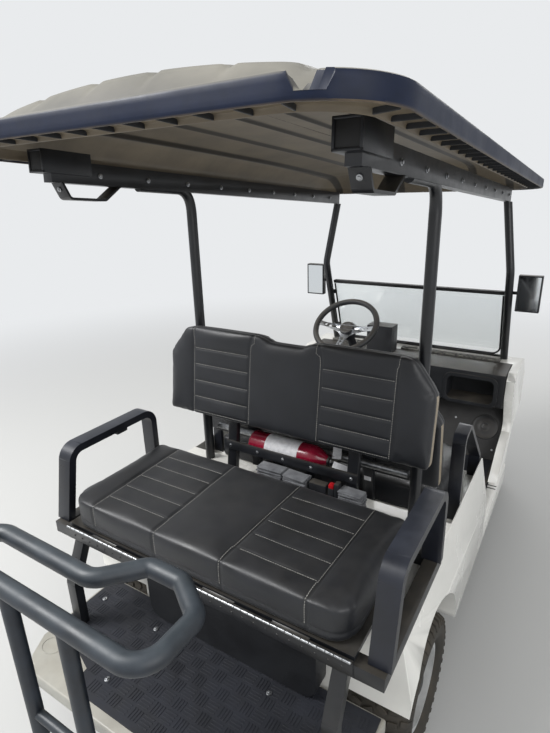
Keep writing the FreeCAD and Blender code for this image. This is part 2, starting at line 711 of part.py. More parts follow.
def rear_body():
    """The white moulded body: seat box, deck and flared sides, hollow, with lined wheel arches."""
    wall = S.bodyWall
    outer = body_section("RearOuter", 0 * one, S.sillBottom, seatBoxY, deckBackY)
    inner = body_section("RearInner", wall, S.sillBottom - 50, seatBoxY + wall, deckBackY - wall)
    wide = S.bodyHalfWidth + 20
    well = S.bodyHalfWidth - S.deckInset - wall
    step = block("SeatStep", (-well, seatBoxY - 10, S.seatBoxTop), (well, deckFrontY, deckTop + 20))
    low = (-wide, seatBoxY - 20, S.seatBoxTop - wall)
    stepIn = block("SeatStepIn", low, (wide, deckFrontY + wall, deckTop + 30))
    cavity = cut("RearCavity", inner, stepIn)
    reach = wide - archInner
    liner = rod("ArchLiner", (archInner - wall, yRear, S.tyreRadius), "X", reach, S.archRadius + wall)
    keep = cut("RearCavityLined", cavity, fused("ArchLiners", liner, mirrored("ArchLinerRight", liner)))
    opening = rod("ArchOpening", (archInner, yRear, S.tyreRadius), "X", reach, S.archRadius)
    openings = fused("ArchOpenings", opening, mirrored("ArchOpeningRight", opening))
    gap = S.seatGap
    low = (railInner - gap, seatBoxY - 10, S.sillBottom - 10)
    notch = block("RailNotch", low, (railOuter + gap, deckBackY + 10, railTop + gap))
    notches = fused("RailNotches", notch, mirrored("RailNotchRight", notch))
    node(cut("RearBodyCut", outer, step, keep, openings, notches), "rear_body")


def cowl_solid(name, inset):
    """The front body as the overlap of its side outline and its plan outline."""
    side = new_body(name + "Side")
    n = inset
    outline = [
        (noseY + 66 + n, railTop - n * 5), (noseY + 66 + n, railTop + 40), (noseY + 44 + n, railTop + 130),
        (noseY + 72 + n, S.cowlNoseTop - 70), (noseY + 190 + n * 0.4, S.cowlNoseTop - n * 0.9),
        (yFront + 4 + n * 0.4, S.cowlTop - n), (dashFrontY - n, S.cowlTop - n),
        (dashFrontY - n, S.dashBottom + n * 0.4),
        (toeY - n * 1.6, railTop - n * 0.6), (toeY - n * 1.6, railTop - n * 5),
    ]
    if float(inset) == 0:
        outline = outline[:-1]
    pad(side, sketch(side, name + "SideLine", "YZ", [outline]), S.bodyHalfWidth * 2 + 40, both=True)
    plan = new_body(name + "Plan")
    half = S.bodyHalfWidth - 8 - n
    nose = S.cowlNoseHalf - n
    outline = [
        (-nose, noseY), (nose, noseY), (half - 46, noseY + 150), (half, noseY + 290),
        (half, toeY + 40), (-half, toeY + 40), (-half, noseY + 290), (-(half - 46), noseY + 150),
    ]
    sk = sketch(plan, name + "PlanLine", "XY", [outline], offset=S.sillBottom - 100)
    pad(plan, sk, S.cowlTop)
    both = doc.addObject("Part::MultiCommon", name + "Solid")
    both.Shapes = [side, plan]
    return both


def front_cowl():
    """The nose, fenders and toe board in one hollow moulding with lined arches for the steered wheels."""
    wall = S.bodyWall
    outer = cowl_solid("CowlOuter", 0 * one)
    inner = cowl_solid("CowlInner", wall)
    reach = S.bodyHalfWidth + 20 - frontArchInner
    start = (frontArchInner - wall, yFront, S.tyreRadius)
    liner = rod("FrontLiner", start, "X", reach, S.frontArchRadius + wall)
    keep = cut("CowlCavity", inner, fused("FrontLiners", liner, mirrored("FrontLinerRight", liner)))
    opening = rod("FrontOpening", (frontArchInner, yFront, S.tyreRadius), "X", reach, S.frontArchRadius)
    openings = fused("FrontOpenings", opening, mirrored("FrontOpeningRight", opening))
    shell = cut("CowlCut", outer, keep, openings)
    cheek = cowl_cheek()
    node(fused("CowlWithCheeks", shell, cheek, mirrored("CheekRight", cheek)), "front_cowl")


def cowl_cheek():
    """The fin at the cowl's side that covers the dash's end and sweeps back to the floor."""
    body = new_body("Cheek")
    slope = (toeY - dashFrontY) / (S.dashBottom - railTop)
    low = sillTop + S.seatGap
    foot = toeY - (low - railTop) * slope - 3
    outline = [
        (dashFrontY - 3, S.cowlTop), (dashBackY - 50, S.cowlTop), (dashBackY - 8, S.cowlTop - 34),
        (dashBackY - 6, S.dashBottom + 70), (dashBackY - 90, S.dashBottom - 80),
        (dashBackY - 75, S.dashBottom - 130),
        (toeY + 70, low + 104), (toeY + 176, low + 34), (toeY + 236, low), (foot, low),
        (dashFrontY - 3, S.dashBottom),
    ]
    sk = sketch(body, "CheekSide", "YZ", [outline], offset=dashHalf + 4)
    pad(body, sk, 40 * one)
    return body


def front_bumper():
    low = (-(S.cowlNoseHalf - 20), noseY, S.railBottom + 16)
    bar = block("BumperBar", low, (S.cowlNoseHalf - 20, noseY + 58, railTop + 22))
    low = (railInner, noseY + 58, S.railBottom + 16)
    stub = block("BumperStub", low, (railOuter, noseY + S.railNoseGap, railTop))
    node(fused("BumperFused", bar, stub, mirrored("BumperStubRight", stub)), "front_bumper")


def dashboard():
    """A hollow dash with two open cubbies, the toe panel under it and the instrument hood on top."""
    wall = S.bodyWall
    faces = []
    for name, n in (("DashOuter", 0 * one), ("DashInner", wall)):
        body = new_body(name)
        top = S.cowlTop - 6
        outline = [
            (dashFrontY - n * 2, S.dashBottom + n), (dashFrontY - n * 2, S.cowlTop - n),
            (dashFrontY + 70 - n * 0.2, S.cowlTop - n), (dashBackY - n, top - n * 1.2),
            (dashBackY - n, S.dashBottom + 30 + n * 0.4), (dashBackY - 60 - n * 0.4, S.dashBottom + n),
        ]
        pad(body, sketch(body, name + "Side", "YZ", [outline]), (dashHalf - n) * 2, both=True)
        faces.append(body)
    cubbyZ = S.dashBottom + 34
    boxes = []
    for side, x, wide in (("Passenger", S.cubbyX, S.cubbyWidth), ("Driver", S.binX, S.binWidth)):
        x = -x if side == "Passenger" else x
        low = (x - wide / 2, dashBackY - S.cubbyDepth, cubbyZ)
        high = (x + wide / 2, dashBackY + 20, cubbyZ + S.cubbyHeight)
        boxes.append(block(side + "Cubby", low, high))
        low = (x - wide / 2 - wall, dashBackY - S.cubbyDepth - wall, cubbyZ - wall)
        high = (x + wide / 2 + wall, dashBackY + 20, cubbyZ + S.cubbyHeight + wall)
        boxes.append(block(side + "CubbyWall", low, high))
    cavity = cut("DashCavity", faces[1], boxes[1], boxes[3])
    low = (70 * one, dashFrontY + 18, S.cowlTop - 4)
    hood = block("InstrumentHood", low, (218 * one, dashFrontY + 112, S.cowlTop + 152))
    column = column_rod("DashColumnHole", columnFoot - 60, columnHead + 60, S.columnRadius + S.runningFit)
    solid = fused("DashSolid", faces[0], hood, toe_panel())
    shell = cut("DashHollow", solid, cavity, boxes[0], boxes[2], column)
    node(shell, "dashboard")


def toe_panel():
    """The black liner that slopes from under the dash to the floor."""
    body = new_body("ToePanel")
    slope = (toeY - dashFrontY) / (S.dashBottom - railTop)
    low = floorTop + S.seatGap
    foot = toeY - (low - railTop) * slope + S.seatGap
    start = dashFrontY + S.seatGap
    high = S.dashBottom + 4
    outline = [(start, S.dashBottom), (start, high), (start + 8, high), (foot + 8, low), (foot, low)]
    pad(body, sketch(body, "ToePanelSide", "YZ", [outline]), dashHalf * 2, both=True)
    return body


def column_rod(name, start, end, radius):
    """A round bar on the steering axis; distances are from the wheel's centre, negative downwards."""
    obj = doc.addObject("Part::Cylinder", name)
    bind(obj, "Height", end - start)
    bind(obj, "Radius", radius)
    y = wheelY + start * sine(S.steerLean)
    z = S.steerZ + start * cosine(S.steerLean)
    turn = FreeCAD.Rotation(V(1, 0, 0), -float(S.steerLean))
    return place(obj, S.steerX, y, z, turn)


def steering_column():
    jacket = column_rod("Jacket", columnFoot, columnHead, S.columnRadius)
    collar = column_rod("ColumnCollar", columnHead - 40, columnHead, S.columnRadius + 12)
    bore = column_rod("JacketBore", columnFoot - 5, columnHead + 5, S.spindleRadius + S.runningFit)
    node(cut("ColumnCut", fused("ColumnFused", jacket, collar), bore), "steering_column")


def steering_wheel():
    """The wheel's rim, three flat spokes, hub and shaft, built flat and then leaned onto the column."""
    turn = FreeCAD.Rotation(V(1, 0, 0), -float(S.steerLean))
    rim = doc.addObject("Part::Torus", "WheelRim")
    bind(rim, "Radius1", S.wheelRimRadius)
    bind(rim, "Radius2", S.wheelRimTube)
    place(rim, S.steerX, wheelY, S.steerZ, turn)
    node(rim, "steering_wheel_rim")
    hub = column_rod("WheelHub", 0 * one - 34, 4 * one, 46)
    shaft = column_rod("WheelShaft", columnFoot + 4, 0 * one - 30, S.spindleRadius)
    spokes = []
    for number, angle in enumerate((0, 120, 240)):
        spoke = doc.addObject("Part::Box", f"Spoke{number}")
        bind(spoke, "Length", S.wheelRimRadius - 2)
        bind(spoke, "Width", 34 * one)
        bind(spoke, "Height", 5 * one)
        spin = FreeCAD.Rotation(V(0, 0, 1), 90 + angle)
        offset = turn.multVec(spin.multVec(V(0, -17, -6)))
        place(spoke, S.steerX + offset.x, wheelY + offset.y, S.steerZ + offset.z, turn.multiply(spin))
        spokes.append(spoke)
    bore = rim_copy("WheelRimSocket", turn)
    node(cut("SpokesCut", fused("SpokesFused", hub, shaft, *spokes), bore), "steering_wheel_spokes")


def rim_copy(name, turn):
    """A ring a hair thicker than the wheel's rim, to cut the spokes' sockets."""
    ring = doc.addObject("Part::Torus", name)
    bind(ring, "Radius1", S.wheelRimRadius)
    bind(ring, "Radius2", S.wheelRimTube + S.runningFit)
    return place(ring, S.steerX, wheelY, S.steerZ, turn)


def pedals():
    """Two flat pedals on arms that reach back from the toe panel, clear of the mat."""
    parts = []
    low = floorTop + 56
    slope = (toeY - dashFrontY) / (S.dashBottom - railTop)
    face = toeY - (low - railTop) * slope + 8 + S.seatGap * 3
    for name, x in (("Brake", S.steerX - 60), ("Throttle", S.steerX + 80)):
        arm = block(name + "Arm", (x - 11, face, low), (x + 11, toeY + 62, low + 18))
        plate = block(name + "Plate", (x - 42, toeY + 20, low + 18), (x + 42, toeY + 84, low + 30))
        parts.append(fused(name + "Pedal", arm, plate))
    node(together("PedalPair", parts), "pedals")


def cushion(name, label, y, low, depth, height, width):
    """A seat cushion: a slab with all its edges rounded."""
    body = new_body(name)
    outline = [(y, low), (y + depth, low), (y + depth, low + height), (y, low + height)]
    slab = pad(body, sketch(body, name + "Side", "YZ", [outline]), width, both=True)
    soften(body, slab, name)
    node(body, label)


def soften(body, slab, name):
    round_edges(body, slab, lambda edge: True, 24 * one, name + "Rounded")


def backrest(name, label, y, low, height, width, angle):
    """A backrest with two humps and sloping shoulders, leaned about its foot."""
    half = width / 2
    zero = 0 * one
    right = [
        (half, zero), (half, height - S.shoulderDrop), (half - S.shoulderRun, height),
        (96 * one, height), (66 * one, height - S.backDip),
    ]
    outline = right + [(-x, z) for x, z in reversed(right)]
    body = new_body(name)
    slab = pad(body, sketch(body, name + "Front", "XZ", [outline]), S.backThickness)
    soften(body, slab, name)
    place(body, zero, y, low, FreeCAD.Rotation(V(1, 0, 0), -float(angle)))
    node(body, label)


def back_supports(name, y, foot, low, top, angle):
    """Two flat posts against a backrest, with the same lean; y is their rear face at the low edge."""
    thick = 26 * one
    start = lean(foot, low, y, angle)
    back = lean(top, low, y, angle)
    parts = []
    for number, x in enumerate((-250, 250)):
        body = new_body(f"{name}Post{number}")
        outline = [(start - thick, foot), (start, foot), (back, top), (back - thick, top)]
        sk = sketch(body, body.Name + "Side", "YZ", [outline], offset=x * one - 20)
        pad(body, sk, 40 * one)
        parts.append(body)
    return parts


def seats():
    """Both benches: cushions, backrests and the posts that hold the backrests."""
    depth = S.frontCushionDepth
    y = yRear - S.frontSeatAhead - depth
    width = (wellHalf - S.cushionInset) * 2
    low = S.seatBoxTop + S.seatGap
    cushion("FrontCushion", "front_seat_cushion", y, low, depth, S.frontCushionHeight, width)
    y = yRear - S.frontSeatAhead + 55
    backrest("FrontBack", "front_seat_back", y, S.frontBackBottom, S.frontBackHeight, width, S.backLean)
    top = S.frontBackBottom + S.frontBackHeight * 0.7
    rear = y + S.seatGap * 2 + 26
    posts = back_supports("Front", rear, S.seatBoxTop, S.frontBackBottom, top, S.backLean)
    y = rearSeatY + 10
    low = panelTop + S.seatGap
    width = (S.rearSeatHalf - S.cushionGap) * 2
    cushion("RearCushion", "rear_seat_cushion", y, low, S.rearCushionDepth, S.rearCushionHeight, width)
    y = yRear - S.backAhead
    backrest("RearBack", "rear_seat_back", y, S.backBottom, S.backHeight, S.backWidth, -S.backLean)
    front = y - S.backThickness - S.seatGap * 4
    top = S.backBottom + S.backHeight * 0.7
    posts += back_supports("Rear", front, deckTop, S.backBottom, top, -S.backLean)
    node(together("BackPosts", posts), "backrest_supports")


def rear_seat_frame():
    """The tube frame under the rear seat, with two bent legs that stand on the footplate."""
    out = frameHalf
    tube = S.frameTube
    back = yRear + S.rearSeatEdge
    parts = []
    side = block("FrameSide", (out - tube, frameFrontY, deckTop), (out, back, S.rearFrameTop))
    parts += [side, mirrored("FrameSideRight", side)]
    for name, y in (("Front", frameFrontY), ("Back", back - tube)):
        low = (-(out - tube), y, deckTop)
        parts.append(block(f"Frame{name}", low, (out - tube, y + tube, S.rearFrameTop)))
    legX = S.footHalf - 70
    legY = yRear + S.footTail - 210
    points = [(legX, back - tube / 2, deckTop + 2), (legX, legY, deckTop - 130), (legX, legY, footTop)]
    leg = shaped("FrameLeg", band_shape(points, 30, tube, tube - 10))
    low = (legX - tube, back - tube * 2, deckTop)
    trim = block("LegTrim", low, (legX + tube, back + tube, deckTop + 40))
    trimmed = cut("FrameLegCut", leg, trim)
    parts += [trimmed, mirrored("FrameLegRight", trimmed)]
    node(fused("SeatFrameFused", *parts), "rear_seat_frame")


def rear_seat_panel():
    """The board under the rear cushion, with the moving knuckles of the piano hinge."""
    back = yRear + S.rearSeatEdge - 4
    low = (-S.rearSeatHalf, rearSeatY, panelTop - S.rearPanel)
    parts = [block("Board", low, (S.rearSeatHalf, back, panelTop))]
    for number, (start, end) in enumerate(hinge_spans(moving=True)):
        parts.append(rod(f"BoardKnuckle{number}", (start, hingeY, hingeZ), "X", end - start, S.hingeRadius))
        low = (start, back, hingeZ - S.hingeRadius)
        parts.append(block(f"BoardWeb{number}", low, (end, hingeY, hingeZ)))
    start = (-S.rearSeatHalf - 5, hingeY, hingeZ)
    bore = rod("BoardBore", start, "X", S.rearSeatHalf * 2 + 10, hingePin + S.runningFit)
    node(cut("BoardCut", fused("BoardFused", *parts), bore), "rear_seat_panel")


def hinge_spans(moving):
    """Start and end of each hinge knuckle across the cart: fixed and moving ones take turns."""
    count = 9
    pitch = S.rearSeatHalf * 2 / count
    gap = S.moveGap / 2
    spans = []
    for number in range(count):
        if (number % 2 == 1) == moving:
            start = -S.rearSeatHalf + pitch * number
            spans.append((start + gap, start + pitch - gap))
    return spans


def rear_seat_hinge():
    """The fixed leaf, knuckles and pin of the piano hinge behind the rear seat frame."""
    face = yRear + S.rearSeatEdge
    low = (-S.rearSeatHalf, face, S.rearFrameTop - 34)
    parts = [block("HingeLeaf", low, (S.rearSeatHalf, face + 4, S.rearFrameTop - 2))]
    parts.append(rod("HingePin", (-S.rearSeatHalf, hingeY, hingeZ), "X", S.rearSeatHalf * 2, hingePin))
    for number, (start, end) in enumerate(hinge_spans(moving=False)):
        parts.append(rod(f"LeafKnuckle{number}", (start, hingeY, hingeZ), "X", end - start, S.hingeRadius))
        low = (start, face, S.rearFrameTop - 10)
        parts.append(block(f"LeafWeb{number}", low, (end, hingeY + 3, hingeZ)))
    node(fused("HingeFused", *parts), "rear_seat_hinge")


def armrests():
    """Flat band loops: two over the rear seat frame and two lower ones beside the front cushion."""
    x = frameHalf - S.frameTube / 2
    half = S.armThickness / 2
    front = yRear - S.armFront
    back = yRear + S.rearSeatEdge - 30
    points = [
        (x, front, S.rearFrameTop), (x, front, S.armTop - half),
        (x, back - 48, S.armTop - half), (x, back, S.rearFrameTop),
    ]
    band = band_shape(points, 45, S.armWidth, S.armThickness)
    below = make_block((x - 60, front - 100, S.rearFrameTop - 60), (x + 60, back + 100, S.rearFrameTop))
    rear = band.cut(below)
    x = wellHalf - S.hipInset
    foot = S.seatBoxTop
    back = yRear - S.frontSeatAhead - 40
    front = seatBoxY + 18
    top = S.hipTop - S.hipThickness / 2
    points = [
        (x, back, foot - 20), (x, back, top - 14), (x, back - 84, top),
        (x, front, foot + 96), (x, front + 6, foot - 20),
    ]
    band = band_shape(points, 26, S.hipWidth, S.hipThickness)
    low = band.cut(make_block((x - 60, front - 100, foot - 60), (x + 60, back + 100, foot)))
    loops = [rear, mirror_shape(rear), low, mirror_shape(low)]
    node(shaped("ArmrestLoops", Part.makeCompound(loops)), "armrests")


def footplate():
    """A white moulded tray with a turned-down edge, which lies on the ends of the rails."""
    wall = S.floorThickness
    front = footFrontY
    tail = yRear + S.footTail
    shapes = []
    for name, n, low, high in (("FootOuter", 0 * one, footTop - S.footThickness, footTop),
                               ("FootInner", wall, footTop - S.footThickness - 20, footTop - wall)):
        body = new_body(name)
        half = S.footHalf - n
        corner = S.footCorner
        start = front if float(n) == 0 else front - 30
        outline = [
            (-half, start), (half, start), (half, tail - corner),
            (half - corner * 0.35, tail - corner * 0.35),
            (half - corner, tail - n), (-(half - corner), tail - n),
            (-(half - corner * 0.35), tail - corner * 0.35), (-half, tail - corner),
        ]
        pad(body, sketch(body, name + "Plan", "XY", [outline], offset=low), high - low)
        shapes.append(body)
    node(cut("FootCut", *shapes), "footplate")


def grab_bar():
    """The rear hand hold: posts from under the footplate to a level loop that swells at its right end."""
    y = yRear + S.rearOverhang - S.loopRadius
    x = S.grabPost
    z = S.railBottom + 22
    post = tube_shape([(x, railTailY, z), (x, y, z), (x, y, S.grabTop - 4)], S.grabRadius, 60)
    reach = y - S.loopWidth
    far = reach - S.loopSwell
    half = S.grabHalf
    loop = [
        (half, y), (-half, y), (-half, far + 56), (-half + 85, far), (-half + 175, far),
        (-half + 255, reach), (half, reach),
    ]
    bends = [52, 56, 36, 36, 30, 50, 52]
    ring = tube_shape([(px, py, S.grabTop) for px, py in loop], S.loopRadius, bends, closed=True)
    cross = Part.makeCylinder(12, float(x) * 2, V(-float(x), float(y), 630), V(1, 0, 0))
    bar = ring.fuse([post, mirror_shape(post), cross]).removeSplitter()
    node(shaped("GrabBar", bar), "grab_bar")


def roof_plane_z(y, drop):
    """Height of a plane that runs with the canopy, a distance below its rim."""
    slope = sine(S.canopyPitch) / cosine(S.canopyPitch)
    return S.canopyUnder - (canopyBackY - y) * slope - drop / cosine(S.canopyPitch)


def roof_placement():
    pitch = FreeCAD.Rotation(V(1, 0, 0), float(S.canopyPitch))
    return FreeCAD.Placement(V(0, float(canopyBackY), float(S.canopyUnder)), pitch)


def rounded_outline(half, front, back, corner, z):
    """A closed rounded rectangle seen from above, at one height."""
    points = [(-half, front, z), (half, front, z), (half, back, z), (-half, back, z)]
    return rounded_path(points, corner, closed=True)


def canopy_solid(steps):
    """A solid through rounded rectangles, each given by its inset from the rim and its height."""
    size = float(S.canopyLength)
    half = float(S.canopyWidth) / 2
    wires = []
    for inset, z in steps:
        corner = max(float(S.canopyCorner) - inset * 0.45, 12)
        wires.append(rounded_outline(half - inset, -size + inset, -inset, corner, z))
    return Part.makeLoft(wires, True, True)


def canopy():
    """The moulded roof: a raised rim, a gutter, a crown and a flange under the gutter, in one thin skin."""
    wall = float(S.canopyWall)
    edge = float(S.canopyEdge)
    gutter = float(S.canopyGutter)
    rise = float(S.canopyRise)
    rim = 16
    inside = rim + float(S.gutterWidth)
    outer = canopy_solid([
        (0, 0), (0, edge), (10, edge + 1), (rim, gutter), (inside, gutter + 1),
        (inside + 95, gutter + rise * 0.82), (inside + 245, gutter + rise),
    ])
    inner = canopy_solid([
        (wall, -40), (wall, gutter - wall), (inside + 2, gutter - wall + 1),
        (inside + 97, gutter + rise * 0.82 - wall), (inside + 247, gutter + rise - wall),
    ])
    half = float(S.canopyWidth) / 2
    size = float(S.canopyLength)
    rail = float(S.rearStrutHalf)
    width = float(S.roofRail)
    railTop_ = float(S.roofRailTop)
    walls = []
    for side in (-1, 1):
        x = side * rail
        walls.append(make_block((x - width / 2, -size, railTop_), (x + width / 2, -bracketAhead, 200)))
    flangeOut = Part.Face(rounded_outline(half - 60, -size + 60, -60, 110, 0)).extrude(V(0, 0, gutter + 6))
    flangeIn = Part.Face(rounded_outline(half - 66, -size + 66, -66, 104, -1)).extrude(V(0, 0, gutter + 20))
    walls.append(flangeOut.cut(flangeIn))
    shape = outer.cut(inner.cut(walls))
    notches = [make_block((x - 30, -30, gutter - 2), (x + 30, 20, edge + 20)) for x in (-480, 480)]
    obj = shaped("CanopyShell", shape.cut(notches))
    obj.Placement = roof_placement()
    node(obj, "canopy")


def canopy_frame():
    """Square rails that carry the canopy, each with an end bracket and a flat bent hand hold below it."""
    rail = float(S.rearStrutHalf)
    half = float(S.roofRail) / 2
    drop = -float(S.railDrop)
    low = (rail - half, -float(S.canopyLength) + 110, drop)
    beam = make_block(low, (rail + half, -bracketAhead + 10, float(S.roofRailTop)))
    bracket = make_block((rail - 30, -bracketAhead, drop + 22), (rail + 30, -bracketAhead + 150, drop + 80))
    points = [
        (rail, -bracketAhead + 104, drop + 21), (rail, -bracketAhead + 70, drop - 40),
        (rail, -bracketAhead - 50, drop - 40), (rail, -bracketAhead - 110, drop + 3),
    ]
    hold = band_shape(points, 14, 44, 7).cut(make_block((0, -2000, drop + 1), (900, 0, 100)))
    seat = make_block((rail - half, -bracketAhead + 9, drop), (rail + half, -bracketAhead + 122, drop + 26))
    shape = both_sides(beam.fuse([bracket, seat, hold]).removeSplitter())
    obj = shaped("CanopyFrame", shape)
    obj.Placement = roof_placement()
    node(obj, "canopy_frame")


def above_rails():
    """Everything above the underside of the canopy rails, for trimming the struts flush."""
    size = float(S.canopyLength)
    shape = make_block((-size, -size * 2, -float(S.railDrop)), (size, size, size))
    shape.Placement = roof_placement()
    return shape


def struts():
    """Front and rear roof posts of round tube, cut flush where they meet the canopy rails."""
    y = yRear - S.strutAhead
    x = S.rearStrutHalf
    sink = S.strutRadius - 1
    turnZ = roof_plane_z(y, S.railDrop + sink)
    end = y + 250
    points = [(x, y, deckTop), (x, y, turnZ), (x, end, roof_plane_z(end, S.railDrop + sink))]
    rear = tube_shape(points, S.strutRadius, 70).cut(above_rails())
    foot = (S.frontStrutHalf, strutFootY, S.cowlTop)
    kinkZ = S.cowlTop + 490
    kink = (S.frontStrutHalf, lean(kinkZ, S.cowlTop, strutFootY, S.screenLean), kinkZ)
    top = (S.frontStrutTopHalf, kink[1] - 30, kinkZ + 340)
    front = tube_shape([foot, kink, top], S.strutRadius, 90).cut(above_rails())
    below = make_block((0, strutFootY - 200, S.cowlTop - 100), (900, strutFootY + 200, S.cowlTop))
    front = front.cut(below)
    tubes = [rear, mirror_shape(rear), front, mirror_shape(front)]
    node(shaped("RoofStruts", Part.makeCompound(tubes)), "roof_struts")


def windscreen():
    """Two clear panes: one stands on the cowl, the other is folded down in front of it."""
    low = S.cowlTop + 10
    high = low + S.screenHeight
    y = lean(low, S.cowlTop, strutFootY, S.screenLean) - S.strutRadius - 8
    thick = S.screenThickness
    rear = leaning_panel("LowerPane", y, low, high, thick, S.screenHalf, S.screenLean)
    lift = 30 * one
    ahead = lean(low + lift, low, y, S.screenLean) - 22
    folded = leaning_panel("UpperPane", ahead, low + lift, high, thick, S.screenHalf, S.screenLean)
    node(together("Panes", [rear, folded]), "windscreen_panes")
    rear = lean(S.cowlTop, low, y, S.screenLean) + 8
    base = leaning_panel("BaseChannel", rear, S.cowlTop, low, thick + 16, S.screenHalf, S.screenLean)
    rear = lean(high, low, y, S.screenLean) + 5
    top = leaning_panel("HingeChannel", rear, high, high + 18, thick + 32, S.screenHalf, S.screenLean)
    node(together("ScreenChannels", [base, top]), "windscreen_channels")


def mirrors():
    """Door mirrors on short arms outside the front struts."""
    z = S.mirrorZ
    y = lean(z, S.cowlTop, strutFootY, S.screenLean)
    x = S.frontStrutHalf + S.strutRadius + 17
    low = (x, y - 30, z - S.mirrorHeight / 2)
    shell = block("MirrorShell", low, (x + S.mirrorWidth, y + 6, z + S.mirrorHeight / 2))
    glassLow = (x + 7, y, z - S.mirrorHeight / 2 + 7)
    glassHigh = (x + S.mirrorWidth - 7, y + 6, z + S.mirrorHeight / 2 - 7)
    recess = block("MirrorRecess", glassLow, (glassHigh[0], y + 20, glassHigh[2]))
    arm = rod("MirrorArm", (S.frontStrutHalf, y - 8, z), "X", x - S.frontStrutHalf + 10, 8)
    clamp = strut_copy("MirrorClamp")
    housing = cut("MirrorHousing", fused("MirrorFused", cut("MirrorBowl", shell, recess), arm), clamp)
    node(pair("MirrorPair", housing), "mirror_housings")
    glass = block("MirrorGlass", glassLow, (glassHigh[0], y + 4, glassHigh[2]))
    node(pair("MirrorGlassPair", glass), "mirror_glasses")


def strut_copy(name):
    """The straight lower run of the left front strut, to cut clamps to its curve."""
    obj = doc.addObject("Part::Cylinder", name)
    bind(obj, "Height", 600 * one)
    bind(obj, "Radius", S.strutRadius + S.runningFit)
    turn = FreeCAD.Rotation(V(1, 0, 0), -float(S.screenLean))
    return place(obj, S.frontStrutHalf, strutFootY, S.cowlTop, turn)


def fire_extinguisher():
    """A small extinguisher that lies across the cart on two saddles behind the front seat."""
    y = yRear - 212
    z = deckTop + 150
    body = new_body("Extinguisher")
    outline = [
        (-150, 0), (-150, 36), (-138, 45), (110, 45), (138, 22), (150, 14), (176, 14), (176, 0),
    ]
    sk = sketch(body, "ExtinguisherProfile", "XY", [[(a * one, b * one) for a, b in outline]])
    revolve(body, sk)
    place(body, 20 * one, y, z)
    node(body, "fire_extinguisher")
    saddles = []
    for number, x in enumerate((-90, 80)):
        low = (x * one, y - 30, deckTop)
        saddles.append(block(f"Saddle{number}", low, (x * one + 30, y + 30, z - 12)))
    bore = rod("SaddleBore", (-200 * one, y, z), "X", 400 * one, 45 + S.seatGap)
    node(cut("SaddlesCut", together("Saddles", saddles), bore), "extinguisher_saddles")


# Places worked out from the sizes above, shared by the sub-parts.
one = Size(1, "1")
hubInner = 30 * one
hubBore = 50 * one
discX = 25 * one
towerTop = railTop + S.towerHeight
frontShockX = S.railSpacing / 2 - S.towerReach + 25
rearShockX = S.railSpacing / 2 + S.towerReach
springTop = S.tyreRadius - S.padHeight
archInner = S.rearTrack / 2 - S.tyreWidth / 2 - 12
frontArchInner = railOuter + 9
wellHalf = S.bodyHalfWidth - S.deckInset - S.bodyWall
dashHalf = S.bodyHalfWidth - S.dashInset
footTop = railTop + S.floorThickness
footFrontY = deckBackY + 6
sillTop = floorTop + 2
bracketAhead = 390
canopyBackY = yRear + S.canopyTail
frameHalf = S.rearSeatHalf + 75
frameFrontY = yRear - S.armFront - 40
rearSeatY = yRear - 28
panelTop = S.rearFrameTop + S.moveGap + S.rearPanel
hingePin = 4 * one
hingeY = yRear + S.rearSeatEdge + S.hingeRadius + 2
hingeZ = S.rearFrameTop + S.moveGap + S.hingeRadius
wheelY = yFront + S.steerBack
columnHead = 0 * one - 46
columnFoot = 0 * one - 400
strutFootY = yFront + 50

chassis_frame()
motor_block()
shock_absorbers()
rear_leaf_springs()
rear_axle()
front_axle_beam()
knuckle("left", 1)
knuckle("right", -1)
tie_rod()
for side, x, y, sign in (
    ("front_left", S.frontTrack / 2, yFront, 1),
    ("front_right", S.frontTrack / 2, yFront, -1),
    ("rear_left", S.rearTrack / 2, yRear, 1),
    ("rear_right", S.rearTrack / 2, yRear, -1),
):
    wheel(side, x, y, sign)
floor_pan()
rear_body()
front_cowl()
front_bumper()
dashboard()
steering_column()
steering_wheel()
pedals()
seats()
rear_seat_frame()
rear_seat_panel()
rear_seat_hinge()
armrests()
footplate()
grab_bar()
canopy()
canopy_frame()
struts()
windscreen()
mirrors()
fire_extinguisher()

doc.recompute()
for obj in doc.Objects:
    for state in ("Invalid", "Error"):
        if state in obj.State:
            raise RuntimeError(f"{obj.Name} is {state}")
os.makedirs("parts", exist_ok=True)
for obj in pieces:
    if obj.Shape.isNull() or not obj.Shape.isValid():
        raise RuntimeError(f"{obj.Label} has no valid shape")
    obj.Shape.exportStep(f"parts/{obj.Label}.step")
print(f"{len(pieces)} sub-parts written")
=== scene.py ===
# Looks of a four-seat golf cart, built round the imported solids. All lengths are metres.
import math
import random
import bmesh
import bpy
from mathutils import Matrix, Vector, noise
from mathutils.bvhtree import BVHTree


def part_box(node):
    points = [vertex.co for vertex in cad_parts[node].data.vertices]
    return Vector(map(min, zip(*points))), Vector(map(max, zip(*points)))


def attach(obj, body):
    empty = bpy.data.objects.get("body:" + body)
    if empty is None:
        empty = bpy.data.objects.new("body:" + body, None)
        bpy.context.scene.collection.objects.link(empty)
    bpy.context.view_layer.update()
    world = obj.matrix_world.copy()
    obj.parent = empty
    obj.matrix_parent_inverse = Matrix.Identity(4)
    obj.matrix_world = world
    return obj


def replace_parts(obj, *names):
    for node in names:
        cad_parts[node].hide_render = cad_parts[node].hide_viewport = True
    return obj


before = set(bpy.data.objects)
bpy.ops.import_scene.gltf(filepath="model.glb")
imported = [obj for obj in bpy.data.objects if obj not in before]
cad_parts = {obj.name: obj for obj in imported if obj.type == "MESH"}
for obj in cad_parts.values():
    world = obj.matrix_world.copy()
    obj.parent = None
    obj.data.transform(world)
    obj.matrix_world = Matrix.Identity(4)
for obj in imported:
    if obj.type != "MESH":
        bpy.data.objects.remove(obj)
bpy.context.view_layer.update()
print("frame loaded")


